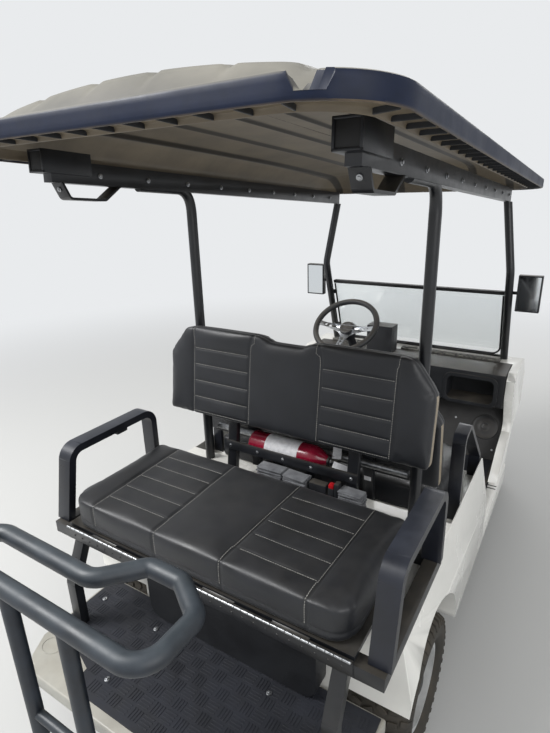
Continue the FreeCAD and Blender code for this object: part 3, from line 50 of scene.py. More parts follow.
# sRGB hex to the linear values that the shaders take
def linearColour(hexText):
    out = []
    for i in (0, 2, 4):
        c = int(hexText[i:i + 2], 16) / 255
        out.append(c / 12.92 if c <= 0.04045 else ((c + 0.055) / 1.055) ** 2.4)
    return (*out, 1.0)


# a node with its settings; an input is a link, a value, or the hex text of a colour
def addNode(tree, kind, inputs=None, **settings):
    node = tree.nodes.new(kind)
    for key, value in settings.items():
        setattr(node, key, value)
    for key, value in (inputs or {}).items():
        if isinstance(value, bpy.types.NodeSocket):
            tree.links.new(value, node.inputs[key])
        elif node.inputs[key].type == "RGBA":
            node.inputs[key].default_value = linearColour(value)
        else:
            node.inputs[key].default_value = value
    return node


# soft noise whose features have a size in millimetres
def noiseOf(tree, place, sizeMm, detail, roughness=0.5):
    inputs = {"Vector": place, "Scale": 1000.0 / sizeMm, "Detail": detail, "Roughness": roughness}
    return addNode(tree, "ShaderNodeTexNoise", inputs).outputs["Fac"]


def mapped(tree, value, low, high, toLow=0.0, toHigh=1.0, **settings):
    inputs = {"Value": value, "From Min": low, "From Max": high, "To Min": toLow, "To Max": toHigh}
    return addNode(tree, "ShaderNodeMapRange", inputs, **settings).outputs["Result"]


def mixed(tree, factor, first, second):
    inputs = {"Factor": factor, "A": first, "B": second}
    return addNode(tree, "ShaderNodeMix", inputs, data_type="RGBA").outputs["Result"]


def maths(tree, operation, first, second=0.0, **settings):
    return addNode(tree, "ShaderNodeMath", {0: first, 1: second}, operation=operation, **settings).outputs["Value"]


def ramped(tree, factor, low, high, dark, light):
    node = addNode(tree, "ShaderNodeValToRGB", {"Fac": factor})
    for stop, position, tone in ((0, low, dark), (1, high, light)):
        node.color_ramp.elements[stop].position = position
        node.color_ramp.elements[stop].color = linearColour(tone)
    return node.outputs["Color"]


def bumped(tree, height, strength, distance):
    inputs = {"Height": height, "Strength": strength, "Distance": distance}
    return addNode(tree, "ShaderNodeBump", inputs).outputs["Normal"]


def upwards(tree):
    normal = addNode(tree, "ShaderNodeNewGeometry").outputs["Normal"]
    return addNode(tree, "ShaderNodeSeparateXYZ", {"Vector": normal}).outputs["Z"]


def newMaterial(name):
    material = bpy.data.materials.new(name)
    material.use_nodes = True
    material.node_tree.nodes.clear()
    return material, material.node_tree, addNode(material.node_tree, "ShaderNodeTexCoord").outputs["Object"]


# a finish with one surface, whose inputs one of the functions below gives
def finished(name, inputsOf, *given):
    material, tree, place = newMaterial(name)
    shader = addNode(tree, "ShaderNodeBsdfPrincipled", inputsOf(tree, place, *given))
    addNode(tree, "ShaderNodeOutputMaterial", {"Surface": shader.outputs["BSDF"]})
    return material


# two tones mixed by a soft pattern, dust on what faces up (on the dark coats a painted highlight), a fine grain as
# bump, and roughness that varies
def weathered(tree, place, look):
    broad = noiseOf(tree, place, look["patchMm"], 5.0, 0.6)
    colour = ramped(tree, broad, 0.35, 0.7, *look["tones"])
    # the tone on what faces up is dust, and on the dark coats a painted highlight
    if "dust" in look:
        tone, most = look["dust"]
        facingUp = mapped(tree, upwards(tree), look.get("dustFrom", 0.2), 1.0)
        amount = maths(tree, "MULTIPLY", facingUp, noiseOf(tree, place, look.get("dustMm", 60), 6.0))
        colour = mixed(tree, maths(tree, "MULTIPLY", amount, most, use_clamp=True), colour, tone)
    sizeMm, strength = look["grain"]
    if look.get("pebble"):
        inputs = {"Vector": place, "Scale": 1000.0 / sizeMm}
        height = addNode(tree, "ShaderNodeTexVoronoi", inputs, feature="SMOOTH_F1").outputs["Distance"]
    else:
        height = noiseOf(tree, place, sizeMm, 2.0)
    inputs = {"Base Color": colour, "Roughness": mapped(tree, broad, 0.3, 0.7, *look["rough"]),
              "Normal": bumped(tree, height, strength, sizeMm / 2500)}
    if "coat" in look:
        inputs["Coat Weight"], inputs["Coat Roughness"] = look["coat"]
    if "sheen" in look:
        inputs["Sheen Weight"], inputs["Sheen Roughness"] = look["sheen"], 0.4
    for key, socket in (("metallic", "Metallic"), ("ior", "IOR")):
        if key in look:
            inputs[socket] = look[key]
    return inputs


# tones from dark to light and the size of their patches, roughness from low to high, grain as size and strength,
# dust and painted highlight as tone and most
finishLooks = {
    # glossy white moulded plastic panels, slightly yellowed and scuffed
    "bodyPlastic": dict(tones=("DEDDD7", "E8E7E2"), patchMm=380, rough=(0.18, 0.32), coat=(0.4, 0.08),
                        dust=("C9BFAC", 0.16), dustMm=140, grain=(9, 0.03)),
    # black moulded plastic with a fine leather-like texture, dusty on top
    "dashPlastic": dict(tones=("17181B", "202226"), patchMm=120, rough=(0.42, 0.6), dust=("857C6C", 0.35),
                        grain=(1.6, 0.25)),
    # black powder-coated steel tube
    "powderCoat": dict(tones=("131417", "1E2024"), patchMm=90, rough=(0.28, 0.42), dust=("8C8372", 0.22),
                       grain=(2.5, 0.08)),
    # the same black coat with a chalky blue grey on what faces up, which is a painted highlight
    "fadedCoat": dict(tones=("13181F", "232A33"), patchMm=70, rough=(0.36, 0.54), dust=("6E777C", 0.42),
                      grain=(2.5, 0.1)),
    # coated marine vinyl, charcoal with a small leather grain
    "seatVinyl": dict(tones=("131519", "1D1F24"), patchMm=140, rough=(0.36, 0.5), sheen=0.05, dust=("6B6862", 0.16),
                      pebble=True, grain=(1.4, 0.3)),
    # the paler, sand-coloured vinyl on the backrest's edge
    "edgeVinyl": dict(tones=("857A69", "9A8F7D"), patchMm=120, rough=(0.45, 0.6), pebble=True, grain=(1.4, 0.25)),
    # light grey polyester thread and piping
    "seatThread": dict(tones=("6F6E6B", "97958F"), patchMm=8, rough=(0.6, 0.8), grain=(0.6, 0.4), sheen=0.2),
    # tyre rubber, brown with dust on the shoulders
    "tyreRubber": dict(tones=("1B1B1A", "2C2A27"), patchMm=60, rough=(0.7, 0.9), dust=("8A7D68", 0.3), dustFrom=-0.6,
                       grain=(1.5, 0.2), ior=1.52),
    # pressed steel rim with a silver-white lacquer
    "rimLacquer": dict(tones=("B9BABA", "CFD0D0"), patchMm=50, rough=(0.3, 0.45), metallic=0.35, dust=("8A7D68", 0.3),
                       grain=(4, 0.05)),
    # zinc-plated screws, rivets, hinge and brackets
    "zincPlate": dict(tones=("8D8F92", "C4C6C8"), patchMm=12, rough=(0.28, 0.45), metallic=1.0, grain=(1.2, 0.1)),
    # brushed aluminium spokes
    "brushedAlloy": dict(tones=("BFC1C4", "DADCDF"), patchMm=30, rough=(0.25, 0.4), metallic=1.0, grain=(0.8, 0.12)),
    # sprayed black chassis paint under the cart, matt with road dust
    "chassisPaint": dict(tones=("121212", "27241F"), patchMm=80, rough=(0.6, 0.8), dust=("7A6D58", 0.5), dustFrom=0.0,
                         grain=(3, 0.2)),
    # ribbed rubber matting, blue-black
    "rubberMat": dict(tones=("0E1119", "191D28"), patchMm=110, rough=(0.55, 0.75), dust=("56565A", 0.12),
                      grain=(1.5, 0.2), ior=1.52),
    # pale grey moulded footplate, stained by feet
    "footPlastic": dict(tones=("92918A", "ABAAA2"), patchMm=130, rough=(0.35, 0.5), dust=("9A8F7B", 0.4),
                        grain=(3, 0.08)),
    # red powder-coated bottle
    "bottleRed": dict(tones=("760F26", "961A36"), patchMm=60, rough=(0.2, 0.32), coat=(0.3, 0.1), grain=(4, 0.03)),
    # blank paper label
    "blankLabel": dict(tones=("C9C9CC", "E4E4E6"), patchMm=14, rough=(0.5, 0.65), grain=(1, 0.05)),
    # black coated armrest band, paler blue grey on what faces up
    "armCoat": dict(tones=("101218", "1A1D26"), patchMm=110, rough=(0.26, 0.4), dust=("6F7480", 0.25),
                    grain=(2.2, 0.1)),
    # black thread of the steering wheel's grip
    "darkThread": dict(tones=("202124", "34353A"), patchMm=8, rough=(0.6, 0.8), grain=(0.6, 0.4)),
    # woven grey seat belt
    "beltWebbing": dict(tones=("55565A", "77797C"), patchMm=40, rough=(0.7, 0.85), sheen=0.3, grain=(0.9, 0.5)),
    # weathered grey foam, mottled
    "foamStrip": dict(tones=("26262A", "8B8981"), patchMm=16, rough=(0.7, 0.9), grain=(3, 0.6)),
    # soft black foam seal
    "sealRubber": dict(tones=("0E0E0F", "19191A"), patchMm=30, rough=(0.5, 0.7), grain=(1, 0.1), ior=1.52),
    # red button of the belt buckle
    "buckleRed": dict(tones=("A3131B", "BD1D24"), patchMm=20, rough=(0.3, 0.4), grain=(1, 0.02)),
}
finish = {name: finished(name, weathered, look) for name, look in finishLooks.items()}


# thick moulded polyethylene: bleached by the sun on top, blue-black on the rim with a painted sky reflection in its
# blue, brown with dust below
def canopyPlastic(tree, place):
    up = upwards(tree)
    cloud = noiseOf(tree, place, 180, 7.0, 0.62)
    fine = noiseOf(tree, place, 22, 5.0)
    # the sides' blue-black is the plastic's dark tone with a painted reflection of the sky
    top = mixed(tree, mapped(tree, up, 0.35, 0.85), mixed(tree, fine, "0B1426", "121D36"),
                mixed(tree, cloud, "66655F", "98948A"))
    colour = mixed(tree, mapped(tree, up, -0.35, -0.85), top, ramped(tree, cloud, 0.38, 0.68, "3A332B", "7C6D59"))
    return {"Base Color": colour, "Roughness": mapped(tree, cloud, 0.3, 0.7, 0.38, 0.55),
            "Normal": bumped(tree, fine, 0.12, 0.002), "Specular IOR Level": 0.25}


# the canopy's underside, brown with dust, darkened by a band of painted shade where each groove of the top hangs
# through
def canopyShade(tree, place, look):
    split = addNode(tree, "ShaderNodeSeparateXYZ", {"Vector": place})
    x, y = split.outputs["X"], split.outputs["Y"]
    # the grooves spread a little towards the front, as in the sheet itself
    ahead = maths(tree, "DIVIDE", maths(tree, "SUBTRACT", look["spreadFrom"], y), look["spreadOver"])
    forward = maths(tree, "MAXIMUM", ahead)
    wider = maths(tree, "MULTIPLY", maths(tree, "MULTIPLY", forward, forward), look["spread"])
    spread = maths(tree, "ADD", wider, 1.0)
    across = maths(tree, "DIVIDE", maths(tree, "ABSOLUTE", x), spread)
    nearest = 1.0
    for groove in look["grooves"]:
        nearest = maths(tree, "MINIMUM", maths(tree, "ABSOLUTE", maths(tree, "SUBTRACT", across, groove)), nearest)
    # the dark band along each groove is painted shade
    band = mapped(tree, nearest, 0.013, 0.021, 0.85, 0.0, interpolation_type="SMOOTHSTEP")
    within = maths(tree, "MULTIPLY", maths(tree, "GREATER_THAN", y, look["bandFrom"]),
                   maths(tree, "LESS_THAN", y, look["bandTo"]))
    dusty = mixed(tree, noiseOf(tree, place, 150, 7.0, 0.62), look["dark"], look["light"])
    return {"Base Color": mixed(tree, maths(tree, "MULTIPLY", band, within), dusty, look["band"]), "Roughness": 0.55,
            "Normal": bumped(tree, noiseOf(tree, place, 22, 5.0), 0.12, 0.002)}


# a clean surface that is hazed by fine scratches
def hazed(tree, place, sizeMm, detail, span, inputs):
    return {"Roughness": mapped(tree, noiseOf(tree, place, sizeMm, detail), *span), **inputs}


finish["canopyPlastic"] = finished("canopyPlastic", canopyPlastic)
# the darkest tone and its reach along the roof paint shade into the grooves
shadeLook = dict(dark="4F473D", light="857862", band="181512", bandFrom=-0.915, bandTo=1.138,
                 grooves=(0.080, 0.255, 0.405), spread=0.10, spreadFrom=0.302, spreadOver=1.28)
finish["canopyUnder"] = finished("canopyUnder", canopyShade, shadeLook)
finish["clearAcrylic"] = finished("clearAcrylic", hazed, 90, 6.0, (0.4, 0.75, 0.01, 0.09),
                                  {"Base Color": "FAFCFC", "Transmission Weight": 0.97, "IOR": 1.49})
finish["mirrorGlass"] = finished("mirrorGlass", hazed, 60, 4.0, (0.0, 1.0, 0.02, 0.12),
                                 {"Base Color": "DDE1E3", "Metallic": 1.0})
print("materials made")


# the solids that show as they are; pieces below stand in for the others
solidFinish = {
    "powderCoat": ["extinguisher_saddles"],
    # the grab bar's coat carries a painted highlight on what faces up
    "fadedCoat": ["grab_bar"],
    "dashPlastic": ["floor_pan", "steering_column", "steering_wheel_rim"],
    "rimLacquer": [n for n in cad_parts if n.startswith("rim_")],
    "chassisPaint": ["chassis_frame", "front_axle_beam", "rear_axle", "knuckle_left", "knuckle_right", "tie_rod",
                     "rear_leaf_springs", "shock_absorbers", "motor_block"],
    "clearAcrylic": ["windscreen_panes"],
    "mirrorGlass": ["mirror_glasses"],
}
for finishName, nodeNames in solidFinish.items():
    for nodeName in nodeNames:
        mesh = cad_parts[nodeName].data
        mesh.materials.clear()
        mesh.materials.append(finish[finishName])
print("solids finished")


# smooth shading with the edges over an angle kept sharp
def shaded(mesh, angle=35):
    mesh.shade_smooth()
    mesh.set_sharp_from_angle(angle=math.radians(angle))
    return mesh


# a finished mesh becomes a piece that rides on a body
def pieceFrom(name, mesh, finishName, body="chassis"):
    mesh.name = name
    slots = [face.material_index for face in mesh.polygons]
    mesh.materials.clear()
    for one in [finishName] if isinstance(finishName, str) else finishName:
        mesh.materials.append(finish[one])
    # emptying the list of finishes also forgets which face has which
    if not isinstance(finishName, str):
        mesh.polygons.foreach_set("material_index", slots)
    piece = linkedObject(name, mesh)
    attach(piece, body)
    return piece


def linkedObject(name, data):
    obj = bpy.data.objects.new(name, data)
    bpy.context.collection.objects.link(obj)
    return obj


# the mesh of what was built up, faced outwards
def meshOf(name, work):
    bmesh.ops.recalc_face_normals(work, faces=work.faces)
    mesh = bpy.data.meshes.new(name)
    work.to_mesh(mesh)
    work.free()
    return mesh


def pieceFromBmesh(name, work, finishName, body="chassis", angle=35):
    return pieceFrom(name, shaded(meshOf(name, work), angle), finishName, body)


def dropObject(obj):
    data = obj.data
    bpy.data.objects.remove(obj)
    (bpy.data.meshes if isinstance(data, bpy.types.Mesh) else bpy.data.curves).remove(data)


# the mesh that a curve gives, or a mesh with the modifiers that dress adds; what it is made from is used up
def baked(name, data, dress=None):
    obj = linkedObject(name, data)
    if dress:
        dress(obj)
    bpy.context.view_layer.update()
    mesh = bpy.data.meshes.new_from_object(obj.evaluated_get(bpy.context.evaluated_depsgraph_get()))
    dropObject(obj)
    return mesh


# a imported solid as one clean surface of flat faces
def cleanCopy(nodeName):
    work = bmesh.new()
    work.from_mesh(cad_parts[nodeName].data)
    bmesh.ops.remove_doubles(work, verts=work.verts, dist=3e-5)
    bmesh.ops.dissolve_limit(work, angle_limit=math.radians(1.0), verts=work.verts, edges=work.edges)
    return work


def rolled(work, edges, width, segments, clamp=True):
    return bmesh.ops.bevel(work, geom=edges, offset=width, offset_type="OFFSET", segments=segments, profile=0.5,
                           affect="EDGES", clamp_overlap=clamp)


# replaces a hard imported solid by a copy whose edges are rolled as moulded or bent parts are
def softened(nodeName, width, finishName, body="chassis", segments=2, wide=None, wideWidth=0.0):
    work = cleanCopy(nodeName)

    def bent(degrees):
        return [e for e in work.edges if e.is_manifold and e.calc_face_angle(0) > math.radians(degrees)]

    if wide:
        rolled(work, [e for e in bent(20) if e.is_convex and wide(e)], wideWidth, 5)
    rolled(work, [e for e in bent(28) if e.calc_length() > width * 2.2], width, segments)
    piece = pieceFromBmesh(nodeName + "_moulded", work, finishName, body, 40)
    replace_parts(piece, nodeName)


def curveOf(name, dimensions, lines, kind="POLY", closed=True):
    curve = bpy.data.curves.new(name, "CURVE")
    curve.dimensions = dimensions
    for line in lines:
        spline = curve.splines.new(kind)
        spline.points.add(len(line) - 1)
        for point, place in zip(spline.points, line):
            point.co = (*place, 1)
        spline.use_cyclic_u = closed
    return curve


# a round tube or cable along points, smooth through them, with closed ends
def tubeAlong(name, points, radius, finishName, sides=3, closed=False, smooth=True):
    curve = curveOf(name + "Line", "3D", [points], "NURBS" if smooth else "POLY", closed)
    if smooth:
        spline = curve.splines[0]
        spline.order_u = 3
        spline.use_endpoint_u = not closed
        spline.resolution_u = 6
    curve.bevel_depth = radius
    curve.bevel_resolution = sides
    curve.use_fill_caps = not closed
    return pieceFrom(name, shaded(baked(name + "Line", curve), 50), finishName)


# flat outlines with holes, filled and given thickness by a curve
def plateMesh(name, outlines, thick, roll):
    curve = curveOf(name, "2D", [[(x, y, 0) for x, y in outline] for outline in outlines])
    curve.fill_mode = "BOTH"
    curve.extrude = thick / 2 - roll
    curve.bevel_depth = roll
    curve.bevel_resolution = 1
    curve.offset = -roll
    return baked(name, curve)


# adds a box with rolled edges to a mesh in the making, turned by a matrix if one is given
def addBox(work, low, high, roll=0.0, turn=None, segments=2):
    made = bmesh.ops.create_cube(work, size=1.0)["verts"]
    size = [b - a for a, b in zip(low, high)]
    middle = Vector([(a + b) / 2 for a, b in zip(low, high)])
    for vert in made:
        vert.co = Vector([c * s for c, s in zip(vert.co, size)])
    if roll:
        edges = list({e for v in made for e in v.link_edges})
        done = rolled(work, edges, min(roll, min(size) * 0.49), segments, clamp=False)
        made = list({v for f in done["faces"] for v in f.verts} | {v for v in made if v.is_valid})
    for vert in made:
        vert.co = (turn @ vert.co if turn else vert.co) + middle
    return made


# the cosine and sine of even steps round a circle
def around(count, shift=0.0):
    return [(math.cos(a), math.sin(a)) for a in [2 * math.pi * (k + shift) / count for k in range(count)]]


# faces between rings of points that match one to one
def bridged(work, rings):
    return [work.faces.new((first[k - 1], first[k], second[k], second[k - 1]))
            for first, second in zip(rings, rings[1:]) for k in [*range(1, len(first)), 0]]


# adds a turned form about an axis: profile is (along, radius) pairs
def addTurned(work, profile, place, axis, sides=20):
    axis = Vector(axis).normalized()
    side = axis.orthogonal().normalized()
    other = axis.cross(side)
    rings = [[work.verts.new(Vector(place) + axis * along + (side * c + other * s) * max(radius, 1e-5))
              for c, s in around(sides)] for along, radius in profile]
    bridged(work, rings)
    work.faces.new(list(reversed(rings[0])))
    work.faces.new(rings[-1])


# turned forms from rows of (profile, place, axis, sides)
def turned(rows):
    work = bmesh.new()
    for row in rows:
        addTurned(work, *row)
    return work


# Geometry Nodes: puts a small item on each spot, turned and sized by the spot, with a little variation
def itemTree():
    tree = bpy.data.node_groups.new("itemsAtSpots", "GeometryNodeTree")
    for label, kind in (("Spots", "Geometry"), ("Item", "Object"), ("Smallest", "Float"), ("Largest", "Float"),
                        ("Seed", "Int")):
        tree.interface.new_socket(label, in_out="INPUT", socket_type="NodeSocket" + kind)
    tree.interface.new_socket("Result", in_out="OUTPUT", socket_type="NodeSocketGeometry")
    given = tree.nodes.new("NodeGroupInput").outputs
    kept = [addNode(tree, "GeometryNodeInputNamedAttribute", {"Name": label}, data_type="FLOAT_VECTOR")
            for label in ("turn", "size")]
    turn, size = [node.outputs["Attribute"] for node in kept]
    inputs = {2: given["Smallest"], 3: given["Largest"], "Seed": given["Seed"]}
    vary = addNode(tree, "FunctionNodeRandomValue", inputs, data_type="FLOAT")
    scaled = addNode(tree, "ShaderNodeVectorMath", {0: size, "Scale": vary.outputs[1]}, operation="SCALE")
    item = addNode(tree, "GeometryNodeObjectInfo", {"Object": given["Item"]})
    put = addNode(tree, "GeometryNodeInstanceOnPoints", {"Points": given["Spots"], "Instance": item.outputs["Geometry"],
                                                        "Rotation": turn, "Scale": scaled.outputs["Vector"]})
    real = addNode(tree, "GeometryNodeRealizeInstances", {"Geometry": put.outputs["Instances"]})
    tree.links.new(real.outputs["Geometry"], tree.nodes.new("NodeGroupOutput").inputs["Result"])
    return tree


spotTree = itemTree()
spotInputs = {item.name: item.identifier for item in spotTree.interface.items_tree if item.in_out == "INPUT"}
origin, upright = (0, 0, 0), (0, 0, 1)
# small turned items, each about one unit wide or long
itemForms = {
    "stitch": [([(-0.5, 0.05), (-0.42, 0.14), (-0.2, 0.19), (0.2, 0.19), (0.42, 0.14), (0.5, 0.05)],
                origin, (1, 0, 0), 6)],
    "screw": [([(-0.3, 1.0), (0.16, 1.0), (0.2, 0.9), (0.22, 0.56), (0.5, 0.5), (0.56, 0.34), (0.42, 0.3), (0.4, 0.02)],
               origin, upright, 12)],
    "bolt": [([(-0.3, 1.0), (0.12, 1.0), (0.16, 0.92)], origin, upright, 14),
             ([(0.1, 0.66), (0.56, 0.66), (0.64, 0.56)], origin, upright, 6)],
    "dome": [([(-0.2, 1.0), (0.1, 0.95), (0.35, 0.75), (0.5, 0.42), (0.54, 0.1)], origin, upright, 10)],
    "knuckle": [([(-0.5, 0.9), (-0.46, 1.0), (0.46, 1.0), (0.5, 0.9)], origin, (1, 0, 0), 14)],
}


# a small box about the origin, as an item
def boxItem(half, roll):
    work = bmesh.new()
    addBox(work, [-h for h in half], half, roll, segments=1)
    return work


# spots are (place, turn matrix, size); the item is a form's name, or a bmesh that is used up
def scatter(name, spots, item, finishName, body="chassis", vary=0.04, seed=7):
    itemMesh = meshOf(name + "Item", turned(itemForms[item]) if isinstance(item, str) else item)
    itemObject = linkedObject(name + "Item", shaded(itemMesh, 40))
    points = bpy.data.meshes.new(name + "Spots")
    points.from_pydata([tuple(spot[0]) for spot in spots], [], [])
    turns = points.attributes.new("turn", "FLOAT_VECTOR", "POINT")
    sizes = points.attributes.new("size", "FLOAT_VECTOR", "POINT")
    for i, (_, turn, size) in enumerate(spots):
        turns.data[i].vector = turn.to_euler()
        sizes.data[i].vector = size if isinstance(size, tuple) else (size, size, size)

    def dress(holder):
        modifier = holder.modifiers.new("items", "NODES")
        modifier.node_group = spotTree
        for key, value in (("Item", itemObject), ("Smallest", 1 - vary), ("Largest", 1 + vary), ("Seed", seed)):
            modifier[spotInputs[key]] = value

    mesh = baked(name + "Spots", points, dress)
    dropObject(itemObject)
    pieceFrom(name, mesh, finishName, body)


# a turn whose x runs along a line and whose z points out of the surface
def frameOf(along, out):
    along = Vector(along).normalized()
    out = Vector(out)
    out = (out - along * out.dot(along)).normalized()
    return Matrix((along, out.cross(along), out)).transposed()


# a turn whose z points out of the surface and whose x is as upright as it can be
def facing(out):
    out = Vector(out).normalized()
    along = Vector(upright)
    if abs(out.dot(along)) > 0.95:
        along = Vector((1, 0, 0))
    return frameOf(along - out * along.dot(out), out)


# places a step apart along a line of points
def spaced(points, step, closed=False):
    line = [Vector(p) for p in points] + ([Vector(points[0])] if closed else [])
    lengths = [(b - a).length for a, b in zip(line, line[1:])]
    total = sum(lengths)
    count = max(1, round(total / step))
    out = []
    for k in range(count):
        want = (k + 0.5) * total / count
        for a, b, long in zip(line, line[1:], lengths):
            if want <= long or long == lengths[-1] and b is line[-1]:
                out.append((a.lerp(b, min(1.0, want / max(long, 1e-9))), (b - a).normalized()))
                break
            want -= long
    return out


# adds a finished mesh to a mesh in the making, and drops it
def takeIn(work, mesh):
    work.from_mesh(mesh)
    bpy.data.meshes.remove(mesh)


def middleOf(box):
    return Vector([(a + b) / 2 for a, b in zip(*box)])


def mirrored(rows):
    return rows + [((-high[0], low[1], low[2]), (-low[0], high[1], high[2])) for low, high in rows]


# boxes with rolled edges, from rows of (low, high) or (low, high, turn), as one piece
def boxPiece(name, rows, finishName, roll=0.002):
    work = bmesh.new()
    for low, high, *turn in rows:
        addBox(work, low, high, roll, turn[0] if turn else None)
    return pieceFromBmesh(name, work, finishName)


# the roof: one closed sheet of rings from the middle of its top, over the rim and back along its underside
canopyLook = dict(half=0.588, front=-2.18, back=0.0, corner=0.150, wall=0.007, pivot=(0, 1.202, 1.849), pitch=3.75,
                  gutter=0.014, rise=0.1245, grooves=(0.080, 0.255, 0.405), grooveWide=0.010, grooveDeep=0.0075,
                  spread=0.10, spreadFrom=-0.9, spreadOver=1.28, notchX=0.494, notchFloor=0.0128, count=620, rail=0.440,
                  railHalf=0.0172)


# the crown's wall by the distance from the rim, from 0 at the gutter to 1 on top
def crownWall(inset):
    knots = ((0.055, 0.0), (0.066, 0.10), (0.085, 0.30), (0.115, 0.60), (0.150, 0.86), (0.200, 0.945), (0.255, 0.98),
             (0.310, 0.995), (0.600, 1.0))
    for (a, low), (b, high) in zip(knots, knots[1:]):
        if inset <= b:
            return low + (high - low) * max(0.0, inset - a) / (b - a)
    return knots[-1][1]


# the crown also arches across the roof, and a little along it
def roofHeight(look, inset, x, y):
    middle = (look["front"] + look["back"]) / 2
    along = (y - middle) / (look["back"] - middle)
    arch = (1 - 1.74 * x * x) * (1 - 0.03 * along * along)
    return look["gutter"] + look["rise"] * crownWall(inset) * arch


# where a point of a ring lies: the ring is the outline moved inwards, its corners turning with it
def ringPoint(look, inset, share):
    half, front, back = look["half"] - inset, look["front"] + inset, look["back"] - inset
    corner = max(0.0, min(look["corner"] - 0.45 * inset, half, (back - front) / 2))
    x1, y0, y1 = half - corner, front + corner, back - corner
    runs = ((half, y0, half, y1), (x1, back, -x1, back), (-half, y1, -half, y0), (-x1, front, x1, front))
    arcs = ((x1, y1), (-x1, y1), (-x1, y0), (x1, y0))
    # every ring has the same share of points on each straight run and arc, so that the rings match
    for number, part in enumerate((0.30, 0.035, 0.13, 0.035) * 2):
        if share < part or number == 7:
            t = min(1.0, share / part)
            if number % 2:
                cx, cy = arcs[number // 2]
                angle = math.radians(90 * (number // 2) + 90 * t)
                return cx + corner * math.cos(angle), cy + corner * math.sin(angle)
            fromX, fromY, toX, toY = runs[number // 2]
            return fromX + (toX - fromX) * t, fromY + (toY - fromY) * t
        share -= part


def roofTurn(look):
    return Matrix.Rotation(math.radians(look["pitch"]), 3, "X")


def roofPlace(look, x, y, z):
    return roofTurn(look) @ Vector((x, y, z)) + Vector(look["pivot"])


# what the grooves and a slight waviness add to the crown's height
def crownDetail(look, x, y):
    fade = min(1.0, max(0.0, min(y - look["front"], look["back"] - y) - 0.105) / 0.05)
    sweep = 1 + look["spread"] * max(0.0, (look["spreadFrom"] - y) / look["spreadOver"]) ** 2
    z = 0.0
    for groove in look["grooves"]:
        off = (abs(x) - groove * sweep) / look["grooveWide"]
        z -= look["grooveDeep"] * fade * math.exp(-off * off)
    swell = math.sin((y - look["front"]) / (look["back"] - look["front"]) * math.pi)
    return z + 0.002 * noise.noise(Vector((x * 3, y * 2, 1))) * swell


def canopySheet(look):
    crown = [0.055, 0.060, 0.066, 0.074, 0.084, 0.096, 0.11, 0.125, 0.14, 0.152, 0.162, 0.169, 0.174, 0.179, 0.183,
             0.187, 0.192, 0.197, 0.205, 0.22, 0.245, 0.275, 0.3, 0.315, 0.322, 0.328, 0.333, 0.338, 0.344, 0.352,
             0.37, 0.4, 0.44, 0.475, 0.492, 0.499, 0.504, 0.508, 0.512, 0.517, 0.525, 0.54, 0.565, 0.5875]
    # the rim and its flange, as (inset, height) from the gutter's inner edge, over the rim and back under it
    rim = [(0.049, 0.0132), (0.040, 0.0125), (0.028, 0.0125), (0.0195, 0.0135), (0.0152, 0.0170), (0.0130, 0.0240),
           (0.0108, 0.0330), (0.0080, 0.0376), (0.0042, 0.0396), (0.0015, 0.0376), (0.0002, 0.0330), (0.0, 0.026),
           (0.0004, 0.016), (0.0002, 0.008), (0.0012, 0.0024), (0.0032, 0.0004), (0.0062, 0.0006), (0.0084, 0.0026),
           (0.0094, 0.0056), (0.0100, 0.0084), (0.0118, 0.0100), (0.014, 0.0102), (0.030, 0.0102), (0.052, 0.0102),
           (0.0572, 0.0094), (0.0592, 0.0070), (0.0597, 0.0030), (0.0608, 0.0005), (0.0628, 0.0002), (0.0648, 0.0012),
           (0.0658, 0.004), (0.0664, 0.010), (0.0700, 0.0190), (0.0750, 0.0250)]
    rows = [(d, None, 0.0) for d in reversed(crown)] + [(d, z, 0.0) for d, z in rim]
    rows += [(d, None, look["wall"]) for d in crown[4:]]
    work = bmesh.new()
    rings = []
    for inset, height, lower in rows:
        ring = []
        for k in range(look["count"]):
            x, y = ringPoint(look, inset, k / look["count"])
            z = roofHeight(look, inset, x, y) - lower if height is None else height
            if inset > 0.1:
                z += crownDetail(look, x, y)
            # drain notches in the rim's rear edge
            if inset < 0.02 and z > look["notchFloor"] and y > -0.02:
                cutBy = min(1.0, max(0.0, (0.036 - abs(abs(x) - look["notchX"])) / 0.010))
                z -= (z - look["notchFloor"]) * cutBy * cutBy * (3 - 2 * cutBy)
            ring.append(work.verts.new(roofPlace(look, x, y, z)))
        rings.append(ring)
    # what lies inside the rim's foot is the brown, dusty side with its bands of painted groove shade
    inside = len(crown) + [z for d, z in rim].index(0.0084)
    bridged(work, rings[:inside + 1])
    for face in bridged(work, rings[inside:]):
        face.material_index = 1
    # the innermost ring of each side is nearly a line, closed by pairing its two sides
    work.faces.new(list(reversed(rings[0])))
    work.faces.new(rings[-1])
    bmesh.ops.triangulate(work, faces=[f for f in work.faces if len(f.verts) > 4])
    bmesh.ops.remove_doubles(work, verts=work.verts, dist=2e-5)
    piece = pieceFromBmesh("canopy_sheet", work, ["canopyPlastic", "canopyUnder"], angle=38)
    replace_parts(piece, "canopy")


# thin webs that stiffen the rim from below, about one every 76 mm, and the bolts of the roof frame
def canopyRibs(look):
    line = [(*ringPoint(look, 0.0347, k / 360), 0.006) for k in range(360)]
    turn = roofTurn(look)
    spots = []
    for place, along in spaced(line, 0.076, closed=True):
        if abs(abs(place.x) - look["notchX"]) < 0.05 and place.y > -0.1:
            continue
        out = Vector((-along.y, along.x, 0))
        spots.append((roofPlace(look, *place), turn @ frameOf(out, upright), 1.0))
    scatter("canopy_ribs", spots, boxItem((0.0252, 0.0018, 0.0052), 0.001), "dashPlastic", vary=0.0)
    spots = []
    for side in (-1, 1):
        for k in range(9):
            for out, ahead in ((1, 0.0), (-1, 0.05)):
                place = roofPlace(look, side * (look["rail"] + out * look["railHalf"]), -2.0 + k * 0.19 + ahead, -0.029)
                spots.append((place, turn @ facing((out * side, 0, 0)), 0.008))
    scatter("roof_frame_bolts", spots, "bolt", "zincPlate")


canopySheet(canopyLook)
canopyRibs(canopyLook)
print("canopy made")


